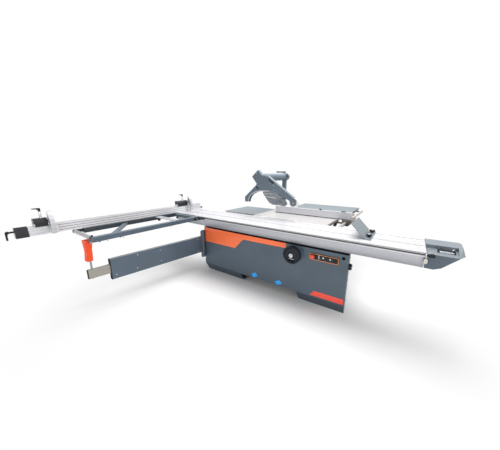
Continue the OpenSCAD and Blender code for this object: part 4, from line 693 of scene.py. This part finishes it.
# screws of the cabinet's sheets
front_screws = [
    (x, front_y("cabinet_front", x, z), z) for x, z in
    ((-2070, 250), (-2070, 430), (-1300, 130), (-560, 130), (-40, 60), (-40, 330), (-40, 540))
]
side_screws = met("cabinet_walls", [(400, y, z) for y in (60, 370, 690) for z in (150, 400, 650)], -X)
back_screws = met(
    "cabinet_walls", [(x, 1400, z) for x in (-2060, -1400, -740, -60) for z in (160, 420, 680)], -Y,
)
for side, places, axis in (("front", front_screws, -Y), ("side", side_screws, X), ("back", back_screws, Y)):
    screws(f"cabinet_{side}_screws", places, axis, 5.5, 2.4, "slate", MACHINE, "slate_paint")

# ---------------------------------------------------------------- swing arm

HINGE, POST_FOOT = Vector((-2085, -60, 0)), Vector((-2245, -1527, 0))
ARM_TURN = math.atan((HINGE.x - POST_FOOT.x) / (HINGE.y - POST_FOOT.y))
ARM_OUT = Vector((-math.sin(ARM_TURN), -math.cos(ARM_TURN), 0))
ARM_SIDE = Vector((math.cos(ARM_TURN), -math.sin(ARM_TURN), 0))
ARM_HALF = 25.0


def arm_point(reach, side, z):
    """A point of the arm: reach along it from the hinge, side across it."""
    return HINGE + ARM_OUT * reach + ARM_SIDE * side + Z * z


def arm_mouth(reach, half, z):
    """Corners of an upright rectangle across the arm."""
    return [arm_point(reach, side, height) for side, height in
            ((half, z[0]), (half, z[1]), (-half, z[1]), (-half, z[0]))]


ARM_BOLTS = [(997, 541), (704, 523), (703, 372), (1017, 374), (1256, 368), (110, 536), (110, 350)]
for name, face in (("arm_bolts_front", 1), ("arm_bolts_back", -1)):
    screws(name, [arm_point(reach, ARM_HALF * face, z) for reach, z in ARM_BOLTS], ARM_SIDE * face, 6.5, 3,
           "pale_grey", "arm", "steel_bright")

# ---------------------------------------------------------------- outrigger

ROLLER_Y, ROLLER_Z = -1509, 859.5


def roller_point(x):
    """A point on the axis of the outrigger's end roller."""
    return x, ROLLER_Y, ROLLER_Z


screws("tube_bolts", [(-2035, y, 830.2) for y in (-1410, -1250, -640, -320)], -Z, 8, 5,
       "steel", "carriage", "steel_bright", sides=6)
rail_bolts = [(x, y, top_z("cross_rail", x, y)) for x in (-2560, -2150) for y in (-500, -445)]
screws("cross_rail_bolts", rail_bolts, Z, 5, 3, "steel", "carriage", "steel_bright")
clamp_bolts = [(x, -113, top_z("carriage_clamp", x, -113)) for x in (-2140, -2100, -2060)]
screws("clamp_bolts", clamp_bolts, Z, 6, 3.5, "steel", "carriage", "steel_bright")
rods("roller_nuts", [(roller_point(x), roller_point(x - 3), 9, 8.4, 6) for x in (-2639.2, -2136)],
     "steel", "carriage", "steel_bright")

# ---------------------------------------------------------------- cross-cut fence and stops

FENCE_X = -2650.0
for name, y in (("stop_a", -1767.3), ("stop_b", 47.1)):
    foot = top_z(name + "_block", FENCE_X + 16, y)
    lever_z = spans(name + "_lever")[2]
    stem = [
        ((FENCE_X, y, foot + 0.4), (FENCE_X, y, foot + 8), 15, 13, 32),
        ((FENCE_X, y, foot + 8), (FENCE_X, y, lever_z[1] - 34), 11.2, 9.6, 32),
    ]
    rods(name + "_stem", stem, "pale_grey", name + "_lever", "steel_bright", bevel=0.5)

_, (fence_near, fence_far), (_, fence_top) = spans("fence_profile")
blocks("fence_scale", [((-2636, -2623), (fence_near + 6, fence_far - 6), (fence_top - 0.1, fence_top + 0.4))],
       "scale", "fence", "white_plastic", smooth=False)
blocks("fence_end_plate", [((-2683.4, -2616.6), (fence_far - 0.2, fence_far + 2.6), (884, 982))],
       "pale_grey", "fence", "grey_paint", bevel=1.0)
end_knob = [
    ((-2625, fence_far + 2.4, 906), (-2625, fence_far + 30, 906), 6, None, 20),
    ((-2625, fence_far + 24, 906), (-2625, fence_far + 48, 906), 15, 13, 28),
]
rods("fence_end_knob", end_knob, "black", "fence", "black_plastic", bevel=1.0)
extension_near = spans("fence_extension")[1][0]
extension_top = top_z("fence_extension", -2630, -1780)
blocks("extension_scale",
       [((-2636, -2626), (extension_near + 20, -1672), (extension_top - 0.1, extension_top + 0.3))],
       "scale", "extension", "white_plastic", smooth=False)

# ---------------------------------------------------------------- tables and rip fence

blocks("table_scale_red", [((-796, -604), (441, 447), (TABLE_Z - 0.1, TABLE_Z + 0.25))],
       "red_scale", MACHINE, "red_plastic", smooth=False)
screws("insert_screws", [(x, 455, top_z("table_insert", x, 455)) for x in (-1290, -820)], Z, 5, 0.5,
       "steel", MACHINE, "steel_bright")
# pale strip on the rear table's front edge: painted light over the edge face, which lies in shade
blocks("rear_table_edge_light", [((-2108, -1488), (507.3, 508.2), (852, TABLE_Z + 0.1))],
       "satin", MACHINE, "grey_paint")

RAIL_X, RAIL_Z = -255.0, 840.0
rail_ends = [
    ((RAIL_X, y - 0.4 * out, RAIL_Z), (RAIL_X, y + 3 * out, RAIL_Z), 21.4, 19.5, 40)
    for y, out in zip(spans("rip_rail")[1], (-1, 1))
]
rods("rail_end_caps", rail_ends, "black", MACHINE, "black_plastic", bevel=0.6)

rip_x, rip_y, rip_z = spans("rip_profile")
cap_y, cap_z = ((low + 0.8, high - 0.8) for low, high in (rip_y, rip_z))
rip_caps = [(sorted((x - 0.2 * out, x + 2.4 * out)), cap_y, cap_z) for x, out in zip(rip_x, (-1, 1))]
blocks("rip_end_caps", rip_caps, "rip", "rip_profile", "grey_paint", bevel=0.8)
# dark strip along the rip fence's foot: painted shade of the thin gap under it
blocks("rip_foot_shade", [(rip_x, (rip_y[0] - 0.8, rip_y[0] + 0.2), (rip_z[0], rip_z[0] + 7))],
       "dark", "rip_profile", "dark_paint")
bm = bmesh.new()
rod(bm, (-612, 905, rip_z[1] - 0.2), (-612, 905, rip_z[1] + 12), 14, 12, 28)
block(bm, (-326, -274), (893, 917), (rip_z[1] - 0.2, rip_z[1] + 9))
piece("rip_clamps", bm, "black", "rip_profile", "black_plastic", bevel=1.2)

# ---------------------------------------------------------------- guard

HOOD = "guard_hood"
HOOD_Y, SHIELD_Y, SHIELD_BACK_Y, ROD_Y = 403.0, 411.9, 454.1, 409.5  # faces of hood and shield, tie rods


def hood_point(x, z):
    """The place on the hood's front at x and z."""
    return Vector((x, front_y(HOOD, x, z), z))


hood_bolts = [hood_point(x, z) for x, z in ((-1244, 1456), (-1130, 1339), (-1120, 1278), (-1405, 1500))]
screws("hood_bolts", hood_bolts, -Y, 8, 4, "steel", HOOD, "steel_bright", sides=6)

# pale strip round the hood's arch: a painted highlight of the edge that catches the light
ARCH_X, ARCH_Z, HIGHLIGHT_WIDTH = -1390, 1060, 13
arch = [(-1543, 1088), (-1548, 1111), (-1522, 1162), (-1485, 1200), (-1426, 1230), (-1354, 1247),
        (-1195, 1256)]
highlight_outline = list(arch)
for x, z in reversed(arch):
    out = Vector((x - ARCH_X, 0, z - ARCH_Z)).normalized() * HIGHLIGHT_WIDTH
    highlight_outline.append((x + out.x, z + out.z))
slabs("hood_arch_highlight", [[(x, HOOD_Y + 0.1, z) for x, z in highlight_outline]], -Y * 0.8,
      "pale_grey", HOOD, "grey_paint", smooth=False)

slot_y = front_y(HOOD, -1412, 1311) + 0.1
slot_low, slot_high = Vector((-1412, slot_y, 1311)), Vector((-1378, slot_y, 1287))
across = (slot_high - slot_low).normalized().cross(Y)
slabs("hood_slot", [capsule(slot_low, slot_high, 9, across)], -Y * 0.6, "black", HOOD, "black_plastic")
PIN_X, PIN_Z = -1150, 1380
stop_pin = [
    ((PIN_X, 399, PIN_Z), (PIN_X, 459.2, PIN_Z), 8),
    ((PIN_X, 396, PIN_Z), (PIN_X, HOOD_Y - 0.2, PIN_Z), 14, 13, 6),
]
rods("hood_stop_pin", stop_pin, "black", HOOD, "black_plastic")
screws("wheel_axle_head", [(-824, front_y(HOOD, -836, 1140), 1117)], -Y, 11, 5,
       "steel", HOOD, "steel_bright", sides=6)

# head of the guard's post: collar, bolt and the grip of the lever
bolt, bolt_axis = Vector((-1412, 1398.5, 1462.7)), Vector((0.94, 0, 0.34))
rods("post_collar", [(bolt - bolt_axis * 3, bolt + bolt_axis * 12, 26, 24, 32)],
     "black", MACHINE, "black_plastic", bevel=1.0)
screws("post_bolt", [bolt + bolt_axis * 12], bolt_axis, 13, 6, "steel", MACHINE, "steel_bright", sides=6)
blocks("guard_lever_grip", [((-1622, -1462), (1407, 1443), (1510, 1533))],
       "slate", "guard_lever", "slate_paint", bevel=4)

# shield: pale lines on its face as painted highlights, and the plate behind it
highlight_strips = [
    [(x, SHIELD_Y, z + side) for x, z, side in ((*a, -half), (*b, -half), (*b, half), (*a, half))]
    for a, b, half in (((-1266, 1178), (-1085, 1167), 3.0), ((-1286, 1216), (-1150, 1224), 2.0))
]
slabs("shield_highlights", highlight_strips, -Y * 0.6, "pale_print", "guard_shield", "white_plastic")
inner_plate = [(x, SHIELD_BACK_Y, z) for x, z in
               ((-1250, 1163), (-1085, 1152), (-990, 1190), (-945, 1092), (-1180, 1080))]
slabs("shield_guard_plate", [inner_plate], Y * 1.2, "slate", "guard_shield", "slate_paint")

# tie rods and spring in front of the hood
tie_rods = [
    ((x, ROD_Y, z), (end_x, ROD_Y, end_z), 2.1, None, 12)
    for x, z, end_x, end_z in ((-1068, 1226, -948, 1104), (-1046, 1236, -930, 1126))
]
rods("hood_rods", tie_rods, "steel", HOOD, "steel_bright")
shaped("hood_spring", coil, [((-1060, ROD_Y, 1218), (-1000, ROD_Y, 1157), 2.9, 0.55, 16)],
       "brass", HOOD, "steel_bright")

# ---------------------------------------------------------------- end cap and its lock

LOCK_X, LOCK_Z, CAP_FRONT = 613.0, 863.0, -102.0
strap = [(-14, -8), (-14, 9), (-31, 10.6), (-36.4, 4), (-33, -36), (-21, -36), (-19, -8)]
slabs("lock_strap", [[(LOCK_X + x, CAP_FRONT - 3.9, LOCK_Z + z) for x, z in strap]], -Y * 0.7,
      "steel", "carriage_lock", "steel_bright", bevel=0.2)
button = [Vector((LOCK_X - 27, CAP_FRONT - 10.9, LOCK_Z - drop)) for drop in (62, 44)]
slabs("lock_button", [capsule(*button, 13, X)], -Y * 1.6,
      "beige", "carriage_lock", "white_plastic", bevel=0.3)

DECK_FRONT_Z, DECK_FALL, DECK_LENGTH = 873.0, 24.0, 295.0


def cap_deck_z(y):
    """Height of the end cap's sunk deck, which falls away from its front edge."""
    return DECK_FRONT_Z - DECK_FALL * (y - CAP_FRONT) / DECK_LENGTH


bm = bmesh.new()
corners = [(782, -100, cap_deck_z(-100) - 0.4), (833.6, 35, cap_deck_z(35) - 0.4), (839.4, 197, TABLE_Z),
           (808, 197, TABLE_Z), (839.4, 197, 846), (808, 197, 846)]
a, b, c, d, c_low, d_low = [bm.verts.new(Vector(p)) for p in corners]
for face in ((a, b, c), (a, c, d), (d, c, c_low, d_low), (a, d, d_low), (b, c_low, c), (a, d_low, c_low, b)):
    bm.faces.new(face)
piece("cap_corner", bm, "cap", "carriage", "grey_paint", smooth=False)

fold = [(x, y, cap_deck_z(y) + 0.2) for x, y in ((776, -88), (796, -88), (796, 196), (776, 196))]
slabs("cap_deck_fold", [fold], Z * 0.8, "cap", "carriage", "grey_paint", smooth=False)
blocks("cap_handle_feet", [((x, x + 11), (31, 58), (860, 877)) for x in (661, 765)],
       "black", "carriage", "black_plastic", bevel=1.5)
rods("cap_handle_bar", [((671, 37, 869), (766, 37, 869), 4.5)], "steel", "carriage", "steel_bright")
joint_x, joint_top = (581.8, 585.4), TABLE_Z + 0.6
joint = [
    (joint_x, (CAP_FRONT - 1, CAP_FRONT + 0.2), (760, joint_top)),
    (joint_x, (CAP_FRONT - 1, 404), (TABLE_Z - 0.2, joint_top)),
]
blocks("cap_joint", joint, "dark", "carriage", "dark_paint")
blocks("lock_grip", [((609, 634), (-126, -108), (862, TABLE_Z))],
       "black", "carriage_lock", "black_plastic", bevel=3)

# ---------------------------------------------------------------- ends of the outrigger's tubes and roller

blocks("frame_end_block", [((-2070.4, -2052), (-218, -142), (832, 879))],
       "black", "carriage", "dark_paint", bevel=2)
screws("frame_end_bolt", [(-2052, -190, 860), (-2052, -162, 848)], X, 12, 10,
       "steel", "carriage", "steel_bright", sides=6)
roller_near, roller_far = spans("end_roller")[0]
roller_caps = [
    (roller_point(x - lap), roller_point(x + reach), 21.4, None, 32)
    for x, lap, reach in ((roller_near, 1.2, 26), (roller_far, -1.2, -5))
]
rods("roller_caps", roller_caps, "black", "roller", "black_plastic", bevel=0.5)

# ---------------------------------------------------------------- small covers, plates and screws

for knob in ("shoe_knob_a", "shoe_knob_b"):
    low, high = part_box(knob)
    centre = (low + high) / 2
    x, y, top = centre.x * 1000 + MID_X, centre.y * 1000 + MID_Y, high.z * 1000
    rods("knob_cover_" + knob[-1], [((x, y, top - 0.2), (x, y, top + 3.5), 15, 12, 28)],
         "steel", knob, "steel_bright", bevel=0.6)
for name, lap, rise in (("stop_a", 4, 2), ("stop_b", 0.4, 12)):
    block_x, (near, _), (bottom, _) = spans(name + "_block")
    plate = ((block_x[0] + 4, block_x[1] + 1.2), (near - lap, near + 9), (bottom + rise, bottom + 34))
    blocks(name + "_plate", [plate], "steel", name, "steel_bright", bevel=1.0)
deck_places = ((604, -70), (604, 130), (604, 380), (800, 60), (815, 300))
screws("cap_screws", met("end_cap", [(x, y, 1000) for x, y in deck_places], -Z), Z, 4.5, 1.6,
       "steel", "carriage", "steel_bright")
screws("handle_screws", met("cap_handle", [(x, 65, 1000) for x in (668, 769)], -Z), Z, 5.0, 1.2,
       "dark", "carriage", "steel_bright")

# moulded frame, plug and nut at the ends of the swing arm's two tubes
band("arm_mouth_frame", arm_mouth(1296.8, 24.6, (321.4, 564.6)), 3.2, ARM_OUT * 9.0,
     "black", "arm", "black_plastic")
slabs("arm_tube_plug", [arm_mouth(1514.8, 17.4, (400.6, 499.4))], ARM_OUT * 8,
      "black", "arm_tube", "black_plastic", bevel=0.8)
rods("arm_tube_nut", [(arm_point(1475.7, 0, 399.5), arm_point(1475.7, 0, 391), 12, 11, 6)],
     "steel", "arm_tube", "steel_bright")

# ---------------------------------------------------------------- stage


def floor_material():
    """Pale floor that keeps the shadow near the machine and turns plain white further out."""
    material, n, shader, coords = new_material("studio_floor")
    shader.inputs["Base Color"].default_value = (0.90, 0.90, 0.90, 1)
    shader.inputs["Roughness"].default_value = 0.9
    shader.inputs["Specular IOR Level"].default_value = 0.1
    white = n.add("ShaderNodeEmission")
    white.inputs["Color"].default_value = (1, 1, 1, 1)
    distance = n.add("ShaderNodeVectorMath", operation="DISTANCE")
    n.link(coords, distance.inputs[0])
    distance.inputs[1].default_value = (-0.25, -0.2, 0.0)
    far = n.ramp(distance.outputs["Value"], 0.8, 2.5)
    path = n.add("ShaderNodeLightPath")
    seen = n.math("MAXIMUM", path.outputs["Is Camera Ray"], path.outputs["Is Glossy Ray"])
    blend = n.add("ShaderNodeMixShader")
    n.link(n.math("MULTIPLY", far, seen), blend.inputs[0])
    n.link(shader.outputs[0], blend.inputs[1])
    n.link(white.outputs[0], blend.inputs[2])
    n.link(blend.outputs[0], material.node_tree.nodes["Material Output"].inputs["Surface"])
    return material


floor_mesh = bmesh.new()
bmesh.ops.create_grid(floor_mesh, x_segments=2, y_segments=2, size=40.0)
floor_data = bpy.data.meshes.new("studio_floor")
floor_mesh.to_mesh(floor_data)
floor_mesh.free()
floor_data.materials.append(floor_material())
floor = bpy.data.objects.new("studio_floor", floor_data)
floor.location.z = -0.0005
bpy.context.scene.collection.objects.link(floor)

# the world is white to the camera and in reflections, and dimmer as a light
WORLD_LIGHT = 0.32
world = bpy.data.worlds.new("studio")
world.use_nodes = True
bpy.context.scene.world = world
hand = Nodes(world.node_tree)
background = world.node_tree.nodes["Background"]
background.inputs["Color"].default_value = (1, 1, 1, 1)
path = hand.add("ShaderNodeLightPath")
seen = hand.math("MAXIMUM", path.outputs["Is Camera Ray"], path.outputs["Is Glossy Ray"])
seen = hand.math("MAXIMUM", seen, path.outputs["Is Transmission Ray"])
hand.link(hand.ramp(seen, 0.0, 1.0, WORLD_LIGHT, 1.0), background.inputs["Strength"])


def soft_lamp(name, place, aim, size, power):
    data = bpy.data.lights.new(name, "AREA")
    data.shape, data.size, data.size_y, data.energy = "RECTANGLE", size[0], size[1], power
    lamp = bpy.data.objects.new(name, data)
    lamp.location = place
    lamp.rotation_euler = (Vector(aim) - Vector(place)).to_track_quat("-Z", "Y").to_euler()
    bpy.context.scene.collection.objects.link(lamp)


soft_lamp("key_over", (0.2, 0.9, 4.4), (0.0, 0.1, 0.5), (3.0, 2.4), 250)
soft_lamp("fill_front", (2.0, -4.8, 1.7), (-0.1, 0.0, 0.8), (3.6, 1.8), 104)

# camera solved from the photograph's vanishing points
camera_data = bpy.data.cameras.new("photo_camera")
camera_data.sensor_width = 36.0
camera_data.lens = 16.13
camera_data.shift_x, camera_data.shift_y = 0.00992, 0.00944
camera_data.clip_end = 200
camera = bpy.data.objects.new("photo_camera", camera_data)
yaw, pitch = math.radians(36.34), math.radians(14.24)
camera.location = at(412.46, -2350.48, 1506.42)
look = Vector((-math.sin(yaw) * math.cos(pitch), math.cos(yaw) * math.cos(pitch), -math.sin(pitch)))
camera.rotation_euler = look.to_track_quat("-Z", "Y").to_euler()
bpy.context.scene.collection.objects.link(camera)
bpy.context.scene.camera = camera
bpy.context.scene.view_settings.view_transform = "Standard"
